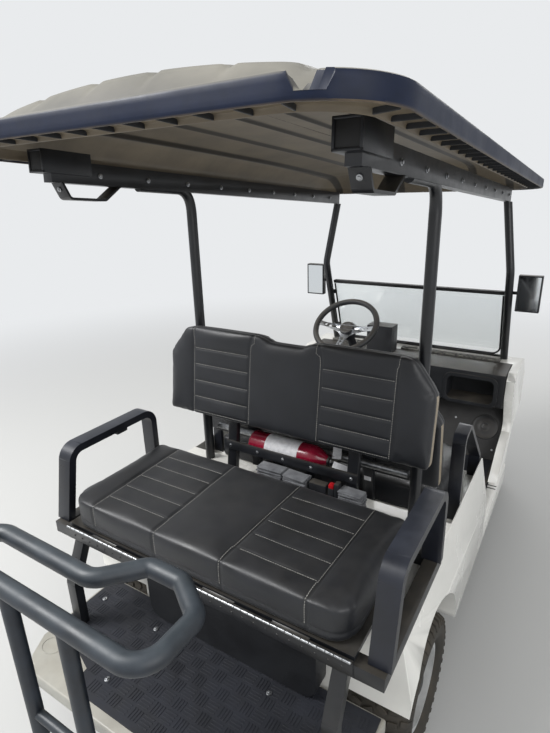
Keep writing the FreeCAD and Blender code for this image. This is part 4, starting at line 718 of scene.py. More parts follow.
# the cushions' common facts: panel seams, cross lines, how far the cover swells, and the size of a thread
coverLook = dict(voxel=0.0095, pressure=4.0, seamDeep=0.0034, seamWide=0.0042, seamHeld=0.0065, lineDeep=0.0026,
                 lineWide=0.0040, lineHeld=0.0055, weltWide=0.0034, stitch=(0.0062, 0.0054, 0.0044), pitch=0.0074,
                 frames=18)
# where each kind of pad is sewn: seams at either side, lines across, and how the thread goes round the roll
seatSewing = dict(panels=(0.135, 0.392), lines=(0.080, 0.150, 0.220, 0.290, 0.362), lowLines=(), off=0.0045,
                  roll=0.072, straight=0.075, bends=range(7), lineFrom=0.139, overEdge=True)
backSewing = dict(panels=(0.140, 0.392), lines=(0.075, 0.138, 0.201, 0.262), lowLines=(0.018,), off=0.004, roll=0.045,
                  straight=0.045, bends=range(1, 6), lineFrom=0.146, overEdge=False)


# slab with rolled edges, in its own frame: x across, y deep, z up
def slabMesh(outline, low, high, roll, cornerRoll):
    work = bmesh.new()
    bottom, top = [[work.verts.new((x, y, level)) for x, y in outline] for level in (low, high)]
    work.faces.new(list(reversed(bottom)))
    work.faces.new(top)
    bridged(work, [bottom, top])
    bmesh.ops.recalc_face_normals(work, faces=work.faces)
    rolled(work, [e for e in work.edges if abs(e.verts[0].co.z - e.verts[1].co.z) > 1e-6], cornerRoll, 6)
    for level, width in ((high, roll[0]), (low, roll[1])):
        flat = [e for e in work.edges if all(abs(v.co.z - level) < 1e-6 for v in e.verts)]
        rolled(work, [e for e in flat if e.calc_face_angle(0) > 0.5], width, 5)
    return meshOf("padStart", work)


# cloth swollen by pressure, held where the seams and the base hold it, capped and smoothed
def swollen(name, mesh, held, cap, look):
    def remesh(pad):
        modifier = pad.modifiers.new("remesh", "REMESH")
        modifier.mode = "VOXEL"
        modifier.voxel_size = look["voxel"]

    def inflate(pad):
        group = pad.vertex_groups.new(name="held")
        for v in pad.data.vertices:
            weight = held(v.co, v.normal)
            if weight > 0:
                group.add([v.index], weight, "REPLACE")
        cloth = pad.modifiers.new("cover", "CLOTH")
        for key, value in dict(quality=4, mass=0.25, tension_stiffness=12, compression_stiffness=12, shear_stiffness=6,
                               bending_stiffness=0.6, use_pressure=True, uniform_pressure_force=look["pressure"],
                               vertex_group_mass="held").items():
            setattr(cloth.settings, key, value)
        cloth.settings.effector_weights.gravity = 0
        cloth.collision_settings.use_collision = False
        cloth.point_cache.frame_start = 1
        cloth.point_cache.frame_end = look["frames"]
        for step in range(1, look["frames"] + 1):
            bpy.context.scene.frame_set(step)

    def smooth(pad):
        subsurf = pad.modifiers.new("smooth", "SUBSURF")
        subsurf.levels = 1
        subsurf.render_levels = 1

    mesh = baked(name + "Cloth", mesh, remesh)
    start = [v.co.copy() for v in mesh.vertices]
    mesh = baked(name + "Cloth", mesh, inflate)
    bpy.context.scene.frame_set(1)
    for v, before in zip(mesh.vertices, start):
        move = v.co - before
        far = move.length
        if far > 1e-7:
            v.co = before + move * (cap * math.tanh(far / cap) / far)
    return baked(name + "Smooth", mesh, smooth)


# presses the sewn lines into the cover; each line gives its distance from a point in metres
def pressed(mesh, creases):
    work = bmesh.new()
    work.from_mesh(mesh)
    work.normal_update()
    moves = []
    for v in work.verts:
        depth = 0.0
        for away, deep, wide in creases:
            off = away(v.co, v.normal)
            if off is not None and abs(off) < wide * 3:
                depth = max(depth, deep * math.exp(-(off / wide) ** 2))
        moves.append(v.normal * -depth)
    for v, move in zip(work.verts, moves):
        v.co += move
    work.to_mesh(mesh)
    work.free()


# a row of thread along outside points cast onto the cover; puckers show because each stitch follows the surface
def threadSpots(tree, rays, look):
    hits = [tree.ray_cast(Vector(start), Vector(way), 1.0)[0] for start, way in rays]
    line = [place for place in hits if place is not None]
    spots = []
    for place, along in spaced(line, look["pitch"]) if len(line) > 1 else []:
        found, out, _, _ = tree.find_nearest(place)
        spots.append((found + out * 0.0006, frameOf(along, out), look["stitch"]))
    return spots


def steps(start, stop, step):
    count = max(1, int(abs(stop - start) / abs(step)))
    return [start + (stop - start) * k / count for k in range(count + 1)]


# how firmly the sewing holds a point: fully on a seam, a little less on a line between two seams
def sewnHold(co, normal, sewing, seamAt):
    inner, outer = sewing["panels"]
    if any(abs(abs(co.x) - seamAt(panel, co.y)) < coverLook["seamHeld"] for panel in (inner, outer)):
        return 1.0
    between = inner < abs(co.x) < outer and normal.z > 0.6
    return 0.96 if between and min(abs(co.y - line) for line in sewing["lines"]) < coverLook["lineHeld"] else 0.0


# the creases of the seams, of the cross lines and of the welts, each where its test lets it show
def creasesOf(sewing, seamAt, seamShows, lineShows, weltShows, welts):
    look = coverLook
    rows = [(lambda co, n, p=panel: abs(abs(co.x) - seamAt(p, co.y)) if seamShows(co, n) else None,
             look["seamDeep"], look["seamWide"]) for panel in sewing["panels"]]
    rows += [(lambda co, n, t=line: abs(co.y - t) if lineShows(co, n) else None,
              look["lineDeep"], look["lineWide"]) for line in sewing["lines"] + sewing["lowLines"]]
    return rows + [(lambda co, n, t=level: abs(co.z - t) if weltShows(n) else None, deep, look["weltWide"])
                   for level, deep in welts]


# thread along every seam, over the rolled edge, and along every cross line
def threadOf(mesh, sewing, seamAt, length, thick):
    tree = BVHTree.FromPolygons([v.co for v in mesh.vertices], [tuple(p.vertices) for p in mesh.polygons])
    spots = []
    roll = sewing["roll"]
    for sign in (-1, 1):
        for panel in sewing["panels"]:
            rays = [((sign * (seamAt(panel, y) - sewing["off"]), y, thick + 0.2), (0, 0, -1))
                    for y in steps(0.014, length - sewing["straight"], 0.012)]
            end = sign * (seamAt(panel, length) - sewing["off"])
            for k in sewing["bends"]:
                c, s = math.cos(math.radians(90 - 15 * k)), math.sin(math.radians(90 - 15 * k))
                rays.append(((end, length - roll + 0.3 * c, thick - roll + 0.3 * s), (0, -c, -s)))
            if sewing["overEdge"]:
                rays += [((end, length + 0.2, z), (0, -1, 0)) for z in steps(thick - 0.080, 0.034, -0.012)]
            spots += threadSpots(tree, rays, coverLook)
        for line in sewing["lines"] + sewing["lowLines"]:
            stop = seamAt(sewing["panels"][1], line) - 0.008
            rays = [((sign * x, line, thick + 0.2), (0, 0, -1)) for x in steps(sewing["lineFrom"], stop, 0.02)]
            spots += threadSpots(tree, rays, coverLook)
    return spots


def finishPad(nodeName, mesh, spots, place, body, edgeFaces=()):
    mesh.transform(place)
    mesh.update()
    mesh.shade_smooth()
    piece = pieceFrom(nodeName + "_cover", mesh, ["seatVinyl", "edgeVinyl"], body)
    for index in edgeFaces:
        mesh.polygons[index].material_index = 1
    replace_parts(piece, nodeName)
    turn = place.to_3x3()
    spots = [(place @ p, turn @ m, s) for p, m, s in spots]
    scatter(nodeName + "_thread", spots, "stitch", "seatThread", body, 0.08, 11)


# a seat's own frame: y runs from the backrest to the rolled edge, z is up from the board
def seatPad(nodeName, box, forward, body):
    low, high = box
    half, depth, height = high[0], high[1] - low[1], high[2] - low[2]
    right = [(half - 0.010, 0.008), (half - 0.010, depth - 0.062), (half - 0.040, depth - 0.014),
             (half - 0.085, depth - 0.008)]
    outline = [(-half + 0.010, 0.008), *right, *[(-x, y) for x, y in reversed(right[1:])]]
    mesh = slabMesh(outline, 0.001, height - 0.010, (0.034, 0.008), 0.030)

    # a fore-aft seam leans inwards a little towards the rolled edge
    def seamAt(panel, y):
        return panel - 0.014 * max(0.0, min(1.0, y / 0.44))

    def held(co, normal):
        if co.z < 0.014 or co.z < 0.03 and normal.z < 0.2:
            return 1.0
        onFace = co.z > height * 0.35 and (normal.z > 0.3 or normal.y > 0.3)
        return sewnHold(co, normal, seatSewing, seamAt) if onFace else 0.0

    mesh = swollen(nodeName, mesh, held, 0.016, coverLook)
    # the cover settles to a gentle crown, lower at the ends, with the marks of use
    for v in mesh.vertices:
        lift = max(0.0, v.co.z / height)
        v.co.z += lift * (0.004 * math.cos(v.co.x / half * 1.4) - 0.002)
        v.co.z += lift * 0.0016 * noise.noise(v.co * 9.0)
    inner, outer = seatSewing["panels"]
    # the welt is the sewn edge that joins the top cover to the border, low on the sides
    pressed(mesh, creasesOf(seatSewing, seamAt, lambda co, n: co.z > 0.012 and n.z > -0.2 and n.y > -0.5,
                            lambda co, n: n.z > 0.5 and inner - 0.01 < abs(co.x) < outer - 0.004,
                            lambda n: abs(n.z) < 0.75 and n.y > -0.6, [(0.030, 0.0022)]))
    spots = threadOf(mesh, seatSewing, seamAt, depth, height)
    # into the cart's frame: a forward-facing seat has its rolled edge towards the nose
    turn = Matrix.Rotation(math.pi if forward else 0.0, 4, "Z")
    finishPad(nodeName, mesh, spots, Matrix.Translation((0, high[1] if forward else low[1], low[2])) @ turn, body)


# a backrest's own frame: x across, y up the backrest, z out of the padded face
def backPad(nodeName, half, height, thick, place):
    inset = 0.006
    half -= inset
    right = [(half, inset), (half, height - 0.109), (half - 0.022, height - 0.078), (half - 0.074, height - 0.013),
             (half - 0.104, height - inset), (0.112, height - inset), (0.090, height - 0.013), (0.070, height - 0.023),
             (0.046, height - 0.026)]
    mesh = slabMesh(right + [(-x, y) for x, y in reversed(right)], 0.002, thick - 0.008, (0.026, 0.010), 0.012)

    # over the top the inner seams lean inwards and the outer ones outwards
    def seamAt(panel, y):
        return panel + 0.016 * max(0.0, (y - height + 0.075) / 0.075) ** 2 * (-1 if panel < 0.2 else 0.3)

    def held(co, normal):
        if co.z < 0.012 or normal.z < -0.5:
            return 1.0
        sewn = sewnHold(co, normal, backSewing, lambda panel, y: panel) if normal.z > 0.3 else 0.0
        return sewn or (0.9 if abs(normal.x) > 0.8 and co.z < thick * 0.55 else 0.0)

    mesh = swollen(nodeName, mesh, held, 0.015, coverLook)
    # one welt where the padded cover meets the border, and a second one at the border's back
    pressed(mesh, creasesOf(backSewing, seamAt, lambda co, n: n.z > -0.2 and co.z > 0.02,
                            lambda co, n: n.z > 0.4 and 0.135 < abs(co.x) < 0.388,
                            lambda n: abs(n.z) < 0.8, [(thick - 0.030, 0.0026), (0.014, 0.0022)]))
    edges = [p.index for p in mesh.polygons if abs(p.normal.x) > 0.72 and 0.016 < p.center.z < thick - 0.031
             and 0.012 < p.center.y < height - 0.112]
    finishPad(nodeName, mesh, threadOf(mesh, backSewing, seamAt, height, thick), place, "chassis", edges)


seatPad("rear_seat_cushion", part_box("rear_seat_cushion"), False, "flip_seat")
seatPad("front_seat_cushion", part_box("front_seat_cushion"), True, "chassis")
# the rear backrest faces the tail, the front one the nose; both lean away from their sitters
for nodeName, facingY, half, height, place, drop in (("rear_seat_back", 1, 0.515, 0.345, (0, 0.513, 0.935), 0.070),
                                                     ("front_seat_back", -1, 0.502, 0.370, (0, 0.287, 0.745), 0.0)):
    lean = Matrix.Translation(place) @ Matrix.Rotation(math.radians(7.6 * facingY), 4, "X")
    stand = Matrix.Translation((0, -drop, 0)) @ frameOf((-facingY, 0, 0), (0, facingY, 0)).to_4x4()
    backPad(nodeName, half, height, 0.070, lean @ stand)
print("cushions made")


# outer corners of a hollow moulding: both faces beside the edge are broad
def broad(edge):
    return min(face.calc_area() for face in edge.link_faces) > 0.010


softened("rear_body", 0.0018, "bodyPlastic", wide=broad, wideWidth=0.014)
softened("front_cowl", 0.0018, "bodyPlastic", wide=broad, wideWidth=0.014)
softened("sill_panels", 0.006, "bodyPlastic", segments=3)
softened("dashboard", 0.0035, "dashPlastic", segments=3)
softened("armrests", 0.0065, "armCoat", segments=3)
softened("rear_seat_frame", 0.0035, "powderCoat")
softened("backrest_supports", 0.003, "powderCoat")
softened("canopy_frame", 0.0022, "powderCoat")
softened("rear_seat_panel", 0.0012, "powderCoat", "flip_seat", segments=1)
softened("footplate", 0.006, "footPlastic", segments=3)
softened("front_bumper", 0.010, "rubberMat", segments=4)
softened("mirror_housings", 0.009, "dashPlastic", segments=4)
softened("windscreen_channels", 0.0015, "sealRubber")
softened("pedals", 0.002, "powderCoat")
print("hard parts softened")


wheelLook = dict(half=0.1025, lugs=38, sides=84)
wheelBodies = {"front_left": 1, "front_right": -1, "rear_left": 1, "rear_right": -1}
# each row of lugs: how far out, its radius, the lug's size, its slant and tip in degrees, and both sides' shifts
lugRows = ((0.020, 0.2257, (0.034, 0.0165, 0.0080), 28, 0, (0.0, 0.5)),
           (0.055, 0.2252, (0.030, 0.0165, 0.0080), -12, 0, (0.25, 0.75)),
           (0.0865, 0.2180, (0.0225, 0.0185, 0.0085), 0, 27, (0.6, 0.1)),
           (0.0985, 0.2030, (0.0175, 0.0150, 0.0055), 0, 68, (0.6, 0.1)))


# carcass of a tyre with its sidewall ribs and the lugs of its tread
def tyre(corner, look):
    middle = middleOf(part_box("tyre_" + corner))
    body = "wheel_" + corner
    rib = look["half"] - 0.0004
    section = [(0.0795, 0.1285), (0.0795, 0.1365), (0.083, 0.1415), (0.088, 0.1445), (0.093, 0.1500), (0.0975, 0.1580),
               (0.1003, 0.1670), (0.1013, 0.1690), (0.1018, 0.1760), (rib, 0.1840), (rib, 0.1880), (0.1012, 0.1905),
               (0.1010, 0.1960), (0.0985, 0.2040), (0.0950, 0.2100), (0.0880, 0.2165), (0.0760, 0.2215),
               (0.0500, 0.2232), (0.0250, 0.2235), (0.0, 0.2235)]
    work = bmesh.new()
    rings = [[work.verts.new(middle + Vector((x, radius * c, radius * s))) for c, s in around(look["sides"])]
             for x, radius in section + [(-a, b) for a, b in reversed(section[:-1])]]
    bridged(work, rings + rings[:1])
    piece = pieceFromBmesh("tyre_" + corner + "_carcass", work, "tyreRubber", body, 50)
    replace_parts(piece, "tyre_" + corner)
    spots = []
    for k in range(look["lugs"]):
        for x, radius, size, slant, tip, shifts in lugRows:
            for side, shift in zip((1, -1), shifts):
                a = 2 * math.pi * (k + shift) / look["lugs"]
                ahead, radial = Vector((0, -math.sin(a), math.cos(a))), Vector((0, math.cos(a), math.sin(a)))
                lean, slope = math.radians(tip) * side, math.radians(slant) * side
                out = Vector((math.sin(lean), 0, 0)) + radial * math.cos(lean)
                along = ahead.cross(out) * math.cos(slope) + ahead * math.sin(slope)
                spots.append((middle + Vector((side * x, 0, 0)) + radial * radius, frameOf(along, out), size))
    scatter("tyre_" + corner + "_lugs", spots, boxItem((0.5, 0.5, 0.5), 0.11), "tyreRubber", body, 0.0, 3)


# nuts, valve and centre cap of a steel wheel, on its outer face
def rimFittings(corner, sign):
    middle = middleOf(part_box("rim_" + corner))
    body = "wheel_" + corner
    out = Vector((sign, 0, 0))
    spots = [(middle + out * 0.0335 + Vector((0, c, s)) * 0.0635, facing(out), 0.0105) for c, s in around(4, 0.5)]
    scatter("wheel_nuts_" + corner, spots, "bolt", "zincPlate", body, 0.02)
    cap = [(0.0, 0.0435), (0.003, 0.0445), (0.006, 0.0425), (0.012, 0.0395), (0.016, 0.034), (0.0185, 0.026),
           (0.0195, 0.012), (0.0195, 0.001)]
    valve = [(0.0, 0.0035), (0.018, 0.0035), (0.020, 0.0045), (0.028, 0.0042), (0.030, 0.003)]
    valvePlace = middle + out * 0.034 + Vector((0, 0.096, 0.012))
    work = turned([(cap, middle + out * 0.0605, out, 28), (valve, valvePlace, out, 10)])
    pieceFromBmesh("centre_cap_" + corner, work, "dashPlastic", body)


for corner, sign in wheelBodies.items():
    tyre(corner, wheelLook)
    rimFittings(corner, sign)
print("wheels made")


steerLook = dict(centre=(0.240, -0.567, 1.050), axis=(0, 0.616, 0.788), reach=0.157, drop=0.036, screwsAt=0.0445,
                 screws=(22, 67, 112, 158, 215, 325), seamAt=0.1502)


# three brushed spokes with lightening holes, dished towards the column, the cap over the nut, and the grip's seam
def steeringSpokes(look):
    out = Vector(look["axis"]).normalized()
    lie = frameOf((1, 0, 0), out)
    centre = Vector(look["centre"])
    half = [(0.046, 0.024), (0.075, 0.017), (0.115, 0.0135), (look["reach"], 0.015)]
    outline, holes = [], []
    # local y points down the wheel, so the second spoke runs to its foot
    for quarter in range(3):
        c, s = math.cos(math.radians(90 * quarter)), math.sin(math.radians(90 * quarter))
        outline += [(x * c - y * s, x * s + y * c) for x, y in [(x, -y) for x, y in half] + half[::-1]]
        holes += [[(x * c + radius * hc, x * s + radius * hs) for hc, hs in around(16)]
                  for x, radius in ((0.070, 0.0085), (0.095, 0.0070), (0.118, 0.0058))]
    outline += [(-0.036, -0.036), (-0.014, -0.050), (0.014, -0.050), (0.036, -0.036)]
    work = bmesh.new()
    takeIn(work, plateMesh("steering_spokes", [outline] + holes, 0.0042, 0.0006))
    bmesh.ops.remove_doubles(work, verts=work.verts, dist=1e-5)
    bmesh.ops.triangulate(work, faces=[f for f in work.faces if len(f.verts) > 4])
    for v in work.verts:
        radius = math.hypot(v.co.x, v.co.y)
        v.co.z -= look["drop"] * max(0.0, min(1.0, (0.150 - radius) / 0.100)) - 0.001
        v.co = lie @ v.co + centre
    piece = pieceFromBmesh("steering_spoke_plate", work, "brushedAlloy", "steering", 30)
    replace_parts(piece, "steering_wheel_spokes")
    hub = centre - out * (look["drop"] - 0.003)
    cap = [(-0.012, 0.036), (0.004, 0.040), (0.012, 0.0405), (0.018, 0.0375), (0.0205, 0.032), (0.0195, 0.0245),
           (0.0185, 0.023), (0.0190, 0.010), (0.0195, 0.001)]
    sleeve = [(-0.046, 0.024), (-0.030, 0.026), (-0.012, 0.034), (-0.006, 0.034)]
    work = turned([(cap, hub, out, 36), (sleeve, hub, out, 28)])
    pieceFromBmesh("steering_centre_cap", work, "dashPlastic", "steering")
    spots = []
    for turn in look["screws"]:
        a = math.radians(turn)
        c, s = look["screwsAt"] * math.cos(a), look["screwsAt"] * math.sin(a)
        place = lie @ Vector((c, s, 0.0028 - look["drop"])) + centre
        spots.append((place, facing(out), 0.0036))
    scatter("steering_hub_screws", spots, "screw", "zincPlate", "steering")
    r = look["seamAt"]
    seam = [(lie @ Vector((r * c, r * s, 0.001)) + centre, lie @ frameOf((-s, c, 0.35), (-c, -s, 0)),
             (0.008, 0.006, 0.005)) for c, s in around(96)]
    scatter("steering_rim_stitches", seam, "stitch", "darkThread", "steering", 0.05)


steeringSpokes(steerLook)
print("steering wheel made")


# mats: woven pattern of short bars, in groups that turn by a quarter from cell to cell
matLook = dict(cell=0.043, bars=4, size=(0.034, 0.0048, 0.0018), half=0.528, tail=1.244, front=0.868, ringSize=0.0085)
# the foot mat is cut back at its tail corners, where the pale tray shows
footMat = [(matLook["half"], matLook["front"]), (matLook["half"], 1.100), (0.305, 1.178), (0.300, matLook["tail"])]


def matBars(name, low, high, top, allowed, look):
    cell, bars = look["cell"], look["bars"]
    columns, rows = [int((high[i] - low[i] - 0.02) / cell) for i in (0, 1)]
    x0 = (low[0] + high[0]) / 2 - columns * cell / 2
    y0 = (low[1] + high[1]) / 2 - rows * cell / 2
    spots = []
    for i in range(columns):
        for j in range(rows):
            cx, cy = x0 + (i + 0.5) * cell, y0 + (j + 0.5) * cell
            for bar in range(bars if allowed(cx, cy) else 0):
                off = (bar - (bars - 1) / 2) * cell / (bars + 0.35)
                place, along = (cx + off, cy, top), (0, 1, 0)
                if (i + j) % 2:
                    place, along = (cx, cy + off, top), (1, 0, 0)
                spots.append((place, frameOf(along, upright), look["size"]))
    scatter(name, spots, boxItem((0.5, 0.5, 0.5), 0.10), "rubberMat", "chassis", 0.03, 5)


def onFootMat(x, y):
    reach = 0.022
    half, tail = matLook["half"], matLook["tail"]
    side = 1.100 - reach + (half - abs(x)) * 0.350
    return abs(x) < half - reach and y < tail - reach and (abs(x) < 0.300 - reach or y < side)


def mats(look):
    low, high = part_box("rubber_mats")
    top = high[2] + 0.0006
    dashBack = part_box("rear_body")[0][1]
    half = high[0]
    work = bmesh.new()
    addBox(work, (-half, low[1], low[2]), (half, dashBack - 0.003, high[2]), 0.0012)
    mesh = plateMesh("footMat", [footMat + [(-x, y) for x, y in reversed(footMat)]], high[2] - low[2], 0.0008)
    mesh.transform(Matrix.Translation((0, 0, (low[2] + high[2]) / 2)))
    takeIn(work, mesh)
    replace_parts(pieceFromBmesh("mats_cut", work, "rubberMat"), "rubber_mats")
    matBars("floor_mat_pattern", (low[0] + 0.01, low[1] + 0.01), (half - 0.01, dashBack - 0.022), top,
            lambda x, y: True, look)
    matBars("foot_mat_pattern", (-look["half"], look["front"]), (look["half"], look["tail"]), top, onFootMat, look)
    rings = ((0.480, 0.958), (0.224, 0.962), (0.219, 1.172), (0.50, dashBack - 0.035), (0.10, dashBack - 0.035))
    spots = [((side * x, y, top + 0.0012), Matrix.Identity(3), look["ringSize"]) for side in (-1, 1) for x, y in rings]
    scatter("mat_ring_screws", spots, "screw", "zincPlate", vary=0.02)


mats(matLook)


# piano hinge: a thin line of bright knuckles, a black leaf and its rivets along the rear seat's edge
hingeLook = dict(axisY=1.033, axisZ=0.720, knuckles=46, radius=0.0038, rod=0.0026, leafY=1.0232, leafThick=0.0040,
                 leafLow=0.672, rivetZ=0.690, rivet=0.0036, barrel=0.0095, thinned=0.58)


def hingeDetail(look):
    low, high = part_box("rear_seat_hinge")
    y, z, leafY, radius = look["axisY"], look["axisZ"], look["leafY"], look["radius"]
    step = (high[0] - low[0] - 0.004) / look["knuckles"]
    spots = [((low[0] + 0.002 + (k + 0.5) * step, y, z), Matrix.Identity(3), (step * 0.92, radius, radius))
             for k in range(look["knuckles"])]
    scatter("hinge_knuckles", spots, "knuckle", "zincPlate", vary=0.0)
    work = bmesh.new()
    addBox(work, (low[0], leafY, look["leafLow"]), (high[0], leafY + look["leafThick"], z - 0.001), 0.0008)
    addTurned(work, [(0, look["rod"]), (high[0] - low[0], look["rod"])], (low[0], y, z), (1, 0, 0), 10)
    addBox(work, (low[0], leafY + 0.0004, z - 0.0050), (high[0], y, z - 0.0022), 0.0006)
    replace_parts(pieceFromBmesh("hinge_leaf", work, "powderCoat"), "rear_seat_hinge")
    # the moving knuckles shrink to the same thin barrel
    for vert in bpy.data.objects["rear_seat_panel_moulded"].data.vertices:
        off = Vector((0, vert.co.y - y, vert.co.z - z))
        if off.length < look["barrel"]:
            vert.co -= off * look["thinned"]
    spots = [((place.x, leafY + look["leafThick"], look["rivetZ"]), facing((0, 1, 0)), look["rivet"])
             for place, _ in spaced([(low[0] + 0.01, 0, 0), (high[0] - 0.01, 0, 0)], 0.036)]
    scatter("hinge_rivets", spots, "dome", "powderCoat", vary=0.03)


hingeDetail(hingeLook)
print("mats and hinge made")


# the struts' top runs sit up inside the open rails: from how far below the roof they change, over what height
tuckLook = dict(start=-0.17, over=0.07, up=0.028, narrower=0.14)


def tuckedStruts(look, tuck):
    work = cleanCopy("roof_struts")
    back = Matrix.Rotation(math.radians(-look["pitch"]), 3, "X")
    for vert in work.verts:
        if vert.co.y < 0:
            continue
        height = (back @ (vert.co - Vector(look["pivot"]))).z
        share = min(1.0, max(0.0, (height - tuck["start"]) / tuck["over"]))
        share = share * share * (3 - 2 * share)
        vert.co.z += tuck["up"] * share
        middle = math.copysign(look["rail"], vert.co.x)
        vert.co.x = middle + (vert.co.x - middle) * (1 - tuck["narrower"] * share)
    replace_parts(pieceFromBmesh("roof_struts_tube", work, "powderCoat", angle=50), "roof_struts")


# open ends of the rails' brackets, a near-black sheet inside each as painted shade of the hollow, and the bolt of each
# hand hold
def railEnds(look):
    turn = roofTurn(look)
    frames, dark, spots = bmesh.new(), bmesh.new(), []
    edge, inner = 0.030, 0.024
    sides = (((-edge, -0.002, -0.029), (-inner, 0.004, 0.029)), ((inner, -0.002, -0.029), (edge, 0.004, 0.029)),
             ((-edge, -0.002, 0.023), (edge, 0.004, 0.029)), ((-edge, -0.002, -0.029), (edge, 0.004, -0.023)))
    for side in (-1, 1):
        x = side * look["rail"]
        middle = roofPlace(look, x, -0.240, -0.004)
        made = [vert for low, high in sides for vert in addBox(frames, low, high, 0.0015)]
        # the near-black sheet set inside each bracket's end is painted shade of the hollow
        for vert in made + addBox(dark, (-0.025, -0.001, -0.024), (0.025, 0.0012, 0.024), 0.0005):
            vert.co = turn @ vert.co + middle
        spots.append((roofPlace(look, x, -0.300, -0.072), turn @ facing((0, 0.87, -0.48)), 0.0065))
    pieceFromBmesh("rail_end_frames", frames, "powderCoat")
    pieceFromBmesh("rail_end_openings", dark, "sealRubber")
    scatter("hand_hold_bolts", spots, "bolt", "zincPlate")


tuckedStruts(canopyLook, tuckLook)
railEnds(canopyLook)
print("roof frame fitted")


# the extinguisher lies with its valve towards the passenger's side
bottleLook = dict(foot=(0.196, 0.392, 0.816), radius=0.045, neck=0.322, labelFrom=0.078, labelLong=0.140)


def extinguisher(look):
    r, long = look["radius"], look["labelLong"]
    x, y, z = look["foot"]
    away = (-1, 0, 0)
    bottle = [(0.0, r * 0.55), (0.002, r * 0.78), (0.006, r * 0.93), (0.014, r), (0.258, r), (0.270, r * 0.98),
              (0.283, r * 0.9), (0.297, r * 0.74), (0.311, r * 0.54), (0.320, r * 0.38), (0.326, r * 0.33)]
    work = turned([(bottle, (x, y, z), away, 48)])
    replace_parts(pieceFromBmesh("extinguisher_bottle", work, "bottleRed", angle=50), "fire_extinguisher")
    label = [(0.0, r * 0.98), (0.0004, r + 0.0005), (long - 0.0004, r + 0.0005), (long, r * 0.98)]
    pieceFromBmesh("extinguisher_label", turned([(label, (x - look["labelFrom"], y, z), away, 48)]), "blankLabel")
    neck = [(0.0, 0.0145), (0.006, 0.0165), (0.011, 0.0165), (0.013, 0.012), (0.030, 0.012), (0.034, 0.014),
            (0.042, 0.014), (0.045, 0.010)]
    work = turned([(neck, (x - look["neck"], y, z), away, 24)])
    addBox(work, (-0.164, 0.392, 0.799), (-0.150, 0.446, 0.812), 0.002)
    addBox(work, (-0.166, 0.440, 0.807), (-0.058, 0.448, 0.817), 0.0028)
    addBox(work, (-0.160, 0.438, 0.790), (-0.074, 0.446, 0.799), 0.0028, Matrix.Rotation(math.radians(5), 3, "Y"))
    pieceFromBmesh("extinguisher_valve", work, "dashPlastic")
    tilted = frameOf((-0.93, -0.36, -0.04), (-0.32, 0.80, 0.50))
    hang = frameOf((-0.88, -0.34, -0.34), (-0.32, 0.84, 0.44))
    boxPiece("extinguisher_tags", [((-0.1685, 0.3448, 0.8427), (-0.1375, 0.3888, 0.8433), tilted),
                                   ((-0.2220, 0.3960, 0.8077), (-0.1580, 0.4400, 0.8083), hang)], "blankLabel", 0.0002)
    ring = [(-0.1465, y + 0.0215 * c, z + 0.0215 * s) for c, s in around(16)]
    tubeAlong("tag_ring", ring, 0.0007, "zincPlate", closed=True, sides=2)


def seatBackRails():
    tube = [(0.02, 0.0105), (0.0, 0.0108), (-0.0004, 0.0136), (0.0006, 0.014), (0.8074, 0.014), (0.8084, 0.0136),
            (0.808, 0.0108), (0.788, 0.0105)]
    pieceFromBmesh("back_cross_tube", turned([(tube, (0.404, 0.334, 0.812), (-1, 0, 0), 28)]), "zincPlate", angle=40)
    tilt = Matrix.Rotation(math.radians(7.6), 3, "X")
    boxPiece("back_cross_rail", [((-0.272, 0.4560, 0.800), (0.272, 0.4655, 0.835), tilt)], "powderCoat", 0.0015)
    spots = [((x, 0.4652, 0.8175), facing((0, 0.99, 0.13)), 0.0062) for x in (0.250, 0.128, 0.018, -0.098, -0.250)]
    scatter("back_rail_bolts", spots, "bolt", "zincPlate")
    boxPiece("post_label", [((-0.2640, 0.3120, 0.7310), (-0.2380, 0.3150, 0.7470))], "blankLabel", 0.0003)


beltLook = dict(stacks=((-0.010, 0.092, 0.799), (-0.106, -0.016, 0.795), (-0.312, -0.228, 0.790)), deck=0.667,
                thick=0.0058, step=0.0061)


# the rear belts lie folded on the deck below the rear backrest, with a buckle between them
def foldedBelts(look):
    chance = random.Random(4)
    work = bmesh.new()
    for x0, x1, top in look["stacks"]:
        z = look["deck"]
        while z < top:
            dx, dy = chance.uniform(-0.003, 0.003), chance.uniform(-0.004, 0.004)
            yaw, roll = [math.radians(chance.uniform(-most, most)) for most in (4, 3)]
            turn = Matrix.Rotation(yaw, 3, "Z") @ Matrix.Rotation(roll, 3, "X")
            addBox(work, (x0 + dx, 0.474 + dy, z), (x1 + dx, 0.524 + dy, z + look["thick"]), 0.0026, turn)
            z += look["step"]
    addBox(work, (-0.170, 0.490, 0.667), (-0.126, 0.4925, 0.705), 0.001)
    addBox(work, (-0.222, 0.490, 0.667), (-0.190, 0.4925, 0.705), 0.001)
    pieceFromBmesh("folded_belts", work, "beltWebbing")
    boxPiece("belt_buckle", [((-0.180, 0.484, 0.700), (-0.116, 0.516, 0.794)),
                             ((-0.226, 0.486, 0.700), (-0.209, 0.514, 0.812)),
                             ((-0.209, 0.488, 0.700), (-0.186, 0.512, 0.790))], "dashPlastic", 0.004)
    boxPiece("buckle_button", [((-0.2070, 0.491, 0.786), (-0.1880, 0.511, 0.803))], "buckleRed", 0.003)


extinguisher(bottleLook)
seatBackRails()
foldedBelts(beltLook)
print("extinguisher and belts made")


def roundedRect(wide, tall, radius):
    sides, points = 7, []
    for cx, cy, start in ((1, 1, 0), (-1, 1, 90), (-1, -1, 180), (1, -1, 270)):
        for k in range(sides + 1):
            a = math.radians(start + 90 * k / sides)
            points.append((cx * (wide / 2 - radius) + radius * math.cos(a),
                           cy * (tall / 2 - radius) + radius * math.sin(a)))
    return points


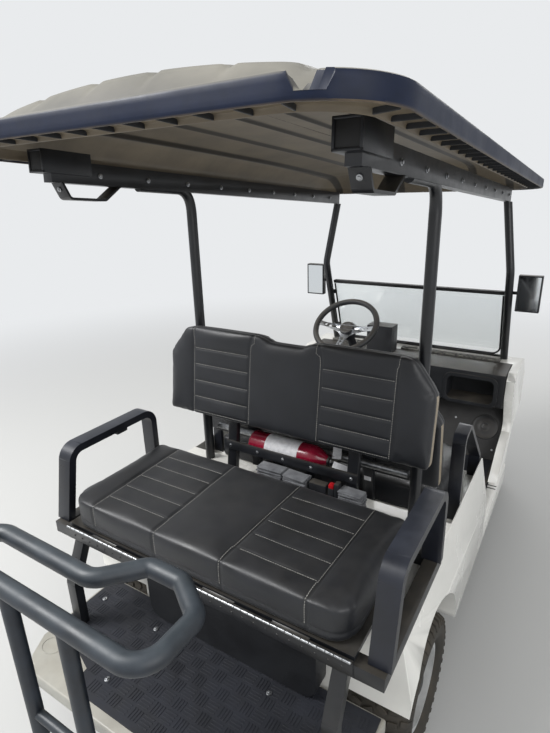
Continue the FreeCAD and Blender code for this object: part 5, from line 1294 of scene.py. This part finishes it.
# a plate that stands across the cart, facing the tail
def standingPlate(name, outlines, thick, roll, middle):
    mesh = plateMesh(name, outlines, thick, roll)
    mesh.transform(Matrix.Translation(middle) @ frameOf((1, 0, 0), (0, 1, 0)).to_4x4())
    return mesh


# dash: rounded frames round the cubbies, the round recesses and the screws below them
dashLook = dict(face=-0.735, cubbyZ=0.739, cubbyTall=0.130, cubbies=((-0.385, 0.236), (0.400, 0.190)),
                recess=(-0.467, -0.834, 0.503), out=(0, 0.85, 0.53),
                screws=((0.310, -0.846, 0.522), (0.521, -0.774, 0.406), (0.350, -0.774, 0.406)))


def dashDetail(look):
    work = bmesh.new()
    tall, out = look["cubbyTall"], look["out"]
    for x, wide in look["cubbies"]:
        outlines = [roundedRect(wide + 0.034, tall + 0.034, 0.040), roundedRect(wide - 0.006, tall - 0.006, 0.028)]
        middle = (x, look["face"] + 0.0015, look["cubbyZ"])
        takeIn(work, standingPlate("cubbyFrame", outlines, 0.007, 0.0022, middle))
    pieceFromBmesh("cubby_frames", work, "dashPlastic")
    profile = [(-0.002, 0.067), (0.003, 0.067), (0.0055, 0.0645), (0.0055, 0.0615), (0.003, 0.057), (0.0012, 0.050),
               (0.0010, 0.032), (0.0030, 0.026), (0.0030, 0.020), (0.0012, 0.016), (0.0026, 0.010), (0.0030, 0.001)]
    x, *rest = look["recess"]
    work = turned([(profile, (side * x, *rest), out, 48) for side in (1, -1)])
    pieceFromBmesh("dash_round_recesses", work, "dashPlastic", angle=30)
    spots = [((side * x, y, z), facing(out), 0.0055) for side in (-1, 1) for x, y, z in look["screws"]]
    scatter("dash_screws", spots, "screw", "zincPlate")
    # soft foam laid along the foot of the screen, and the lines across the sill treads
    rows = [((x0, -0.972, 0.8450), (x1, -0.928, 0.8550)) for x0, x1 in ((-0.490, 0.052), (0.236, 0.490))]
    boxPiece("screen_foam", rows, "foamStrip", 0.004)
    rows = mirrored([((0.547, y, 0.3636), (0.597, y + 0.008, 0.3648)) for y in (-0.492, -0.466)])
    boxPiece("sill_lines", rows, "rubberMat", 0.0004)


# a rubber bead round the screen with rounded lower corners, and the clips to the struts
screenLook = dict(foot=-1.034, low=0.855, high=1.203, half=0.4690, lean=18.0, corner=0.042, clipX=0.486,
                  clipZ=(0.93, 1.15))


def screenBead(look):
    lean = math.radians(look["lean"])
    out = Vector((0, math.cos(lean), -math.sin(lean)))
    half, low, high, r = look["half"], look["low"] + 0.008, look["high"], look["corner"]

    def screenY(z):
        return look["foot"] + (z - look["low"]) * math.tan(lean)

    path = [(half, high)]
    for cx, start in ((half - r, 0), (-(half - r), -90)):
        for k in range(8):
            a = math.radians(start - 90 * k / 7)
            path.append((cx + r * math.cos(a), low + r + r * math.sin(a)))
    points = [Vector((x, screenY(z), z)) + out * 0.0055 for x, z in path + [(-half, high)]]
    tubeAlong("screen_bead", points, 0.0048, "sealRubber", smooth=False, sides=4)
    rows = [((x - 0.013, screenY(z) - 0.006, z - 0.012), (x + 0.013, screenY(z) + 0.012, z + 0.012))
            for x in (-look["clipX"], look["clipX"]) for z in look["clipZ"]]
    boxPiece("screen_clips", rows, "dashPlastic", 0.003)


# the dark skirt between the seat frame and the footplate, standing out from the white body
skirtLook = dict(wide=0.641, low=0.3664, high=0.664, middle=-0.0335, back=0.8535, face=0.9205, corner=0.050, roll=0.004)


def seatSkirt(look):
    outline = roundedRect(look["wide"], look["high"] - look["low"], look["corner"])
    centre = (look["middle"], (look["back"] + look["face"]) / 2, (look["low"] + look["high"]) / 2)
    mesh = standingPlate("seatSkirt", [outline], look["face"] - look["back"], look["roll"], centre)
    pieceFrom("seat_skirt", shaded(mesh, 40), "dashPlastic")


def bracketsAndTray():
    boxPiece("armrest_brackets", mirrored([((0.545, 0.700, 0.913), (0.575, 0.748, 0.934))]), "powderCoat", 0.003)
    for side, name in ((1, "left"), (-1, "right")):
        oval = [(side * (0.474 + 0.036 * c), 1.178 + 0.030 * s, 0.3624) for c, s in around(24)]
        tubeAlong("tray_ridge_" + name, oval, 0.0013, "footPlastic", closed=True)


dashDetail(dashLook)
screenBead(screenLook)
seatSkirt(skirtLook)
bracketsAndTray()
print("dash, screen and tray details made")


stageLook = dict(floorTone="C4C4C2", floorSize=60.0, skyTone="EEF0F2", skyStrength=0.62, backdropTone="E9EBED",
                 plainTo=2.2, brightFrom=7.0)


def studio(look):
    half = look["floorSize"] / 2
    floorMesh = bpy.data.meshes.new("studioFloor")
    floorMesh.from_pydata([(-half, -half, 0), (half, -half, 0), (half, half, 0), (-half, half, 0)], [], [(0, 1, 2, 3)])
    floor = linkedObject("studioFloor", floorMesh)
    material, tree, place = newMaterial("studioFloor")
    shader = addNode(tree, "ShaderNodeBsdfPrincipled", {"Base Color": look["floorTone"], "Roughness": 0.9})
    # away from the cart the floor turns as bright as the backdrop, so that no horizon shows
    reach = addNode(tree, "ShaderNodeVectorMath", {0: place}, operation="LENGTH").outputs["Value"]
    far = mapped(tree, reach, look["plainTo"], look["brightFrom"], interpolation_type="SMOOTHSTEP")
    glow = addNode(tree, "ShaderNodeEmission", {"Color": look["backdropTone"], "Strength": 1.0})
    blend = addNode(tree, "ShaderNodeMixShader", {"Fac": far, 1: shader.outputs["BSDF"], 2: glow.outputs["Emission"]})
    addNode(tree, "ShaderNodeOutputMaterial", {"Surface": blend.outputs["Shader"]})
    floorMesh.materials.append(material)
    world = bpy.data.worlds.new("studioSky")
    bpy.context.scene.world = world
    world.use_nodes = True
    tree = world.node_tree
    tree.nodes.clear()
    # the backdrop's tone shows to the camera and through the screen; the rest is lit by the sky
    rays = addNode(tree, "ShaderNodeLightPath").outputs
    through = maths(tree, "MAXIMUM", rays["Is Camera Ray"], rays["Is Transmission Ray"])
    lit, shown = [addNode(tree, "ShaderNodeBackground", {"Color": tone, "Strength": strength}).outputs["Background"]
                  for tone, strength in ((look["skyTone"], look["skyStrength"]), (look["backdropTone"], 1.0))]
    blend = addNode(tree, "ShaderNodeMixShader", {"Fac": through, 1: lit, 2: shown})
    addNode(tree, "ShaderNodeOutputWorld", {"Surface": blend.outputs["Shader"]})


def areaLamp(name, place, target, size, watts):
    lamp = bpy.data.lights.new(name, "AREA")
    lamp.shape = "SQUARE"
    lamp.size = size
    lamp.energy = watts
    obj = linkedObject(name, lamp)
    obj.location = place
    obj.rotation_euler = (Vector(target) - Vector(place)).to_track_quat("-Z", "Y").to_euler()


studio(stageLook)
areaLamp("keyLamp", (3.2, 3.4, 5.2), (0, 0.3, 0.8), 2.6, 400)
areaLamp("fillLamp", (-4.2, 3.0, 3.2), (0, 0.3, 0.9), 3.5, 110)
areaLamp("rimLamp", (0.5, -5.0, 4.0), (0, 0, 1.0), 3.0, 90)

# the photograph's camera, fitted to points on the cart
cameraLook = dict(place=(-0.835, 1.842, 1.74), ahead=(0.50574, -0.79739, -0.32923), up=(0.15138, -0.29369, 0.94384),
                  lens=24.84)


def photoCamera(look):
    camera = bpy.data.cameras.new("photoCamera")
    camera.lens = look["lens"]
    camera.sensor_width = 36
    camera.clip_start = 0.05
    obj = linkedObject("photoCamera", camera)
    ahead = Vector(look["ahead"]).normalized()
    right = ahead.cross(Vector(look["up"])).normalized()
    obj.location = look["place"]
    obj.rotation_euler = Matrix((right, right.cross(ahead), -ahead)).transposed().to_euler()
    bpy.context.scene.camera = obj


photoCamera(cameraLook)
bpy.context.scene.view_settings.view_transform = "Standard"
print("stage and camera set")
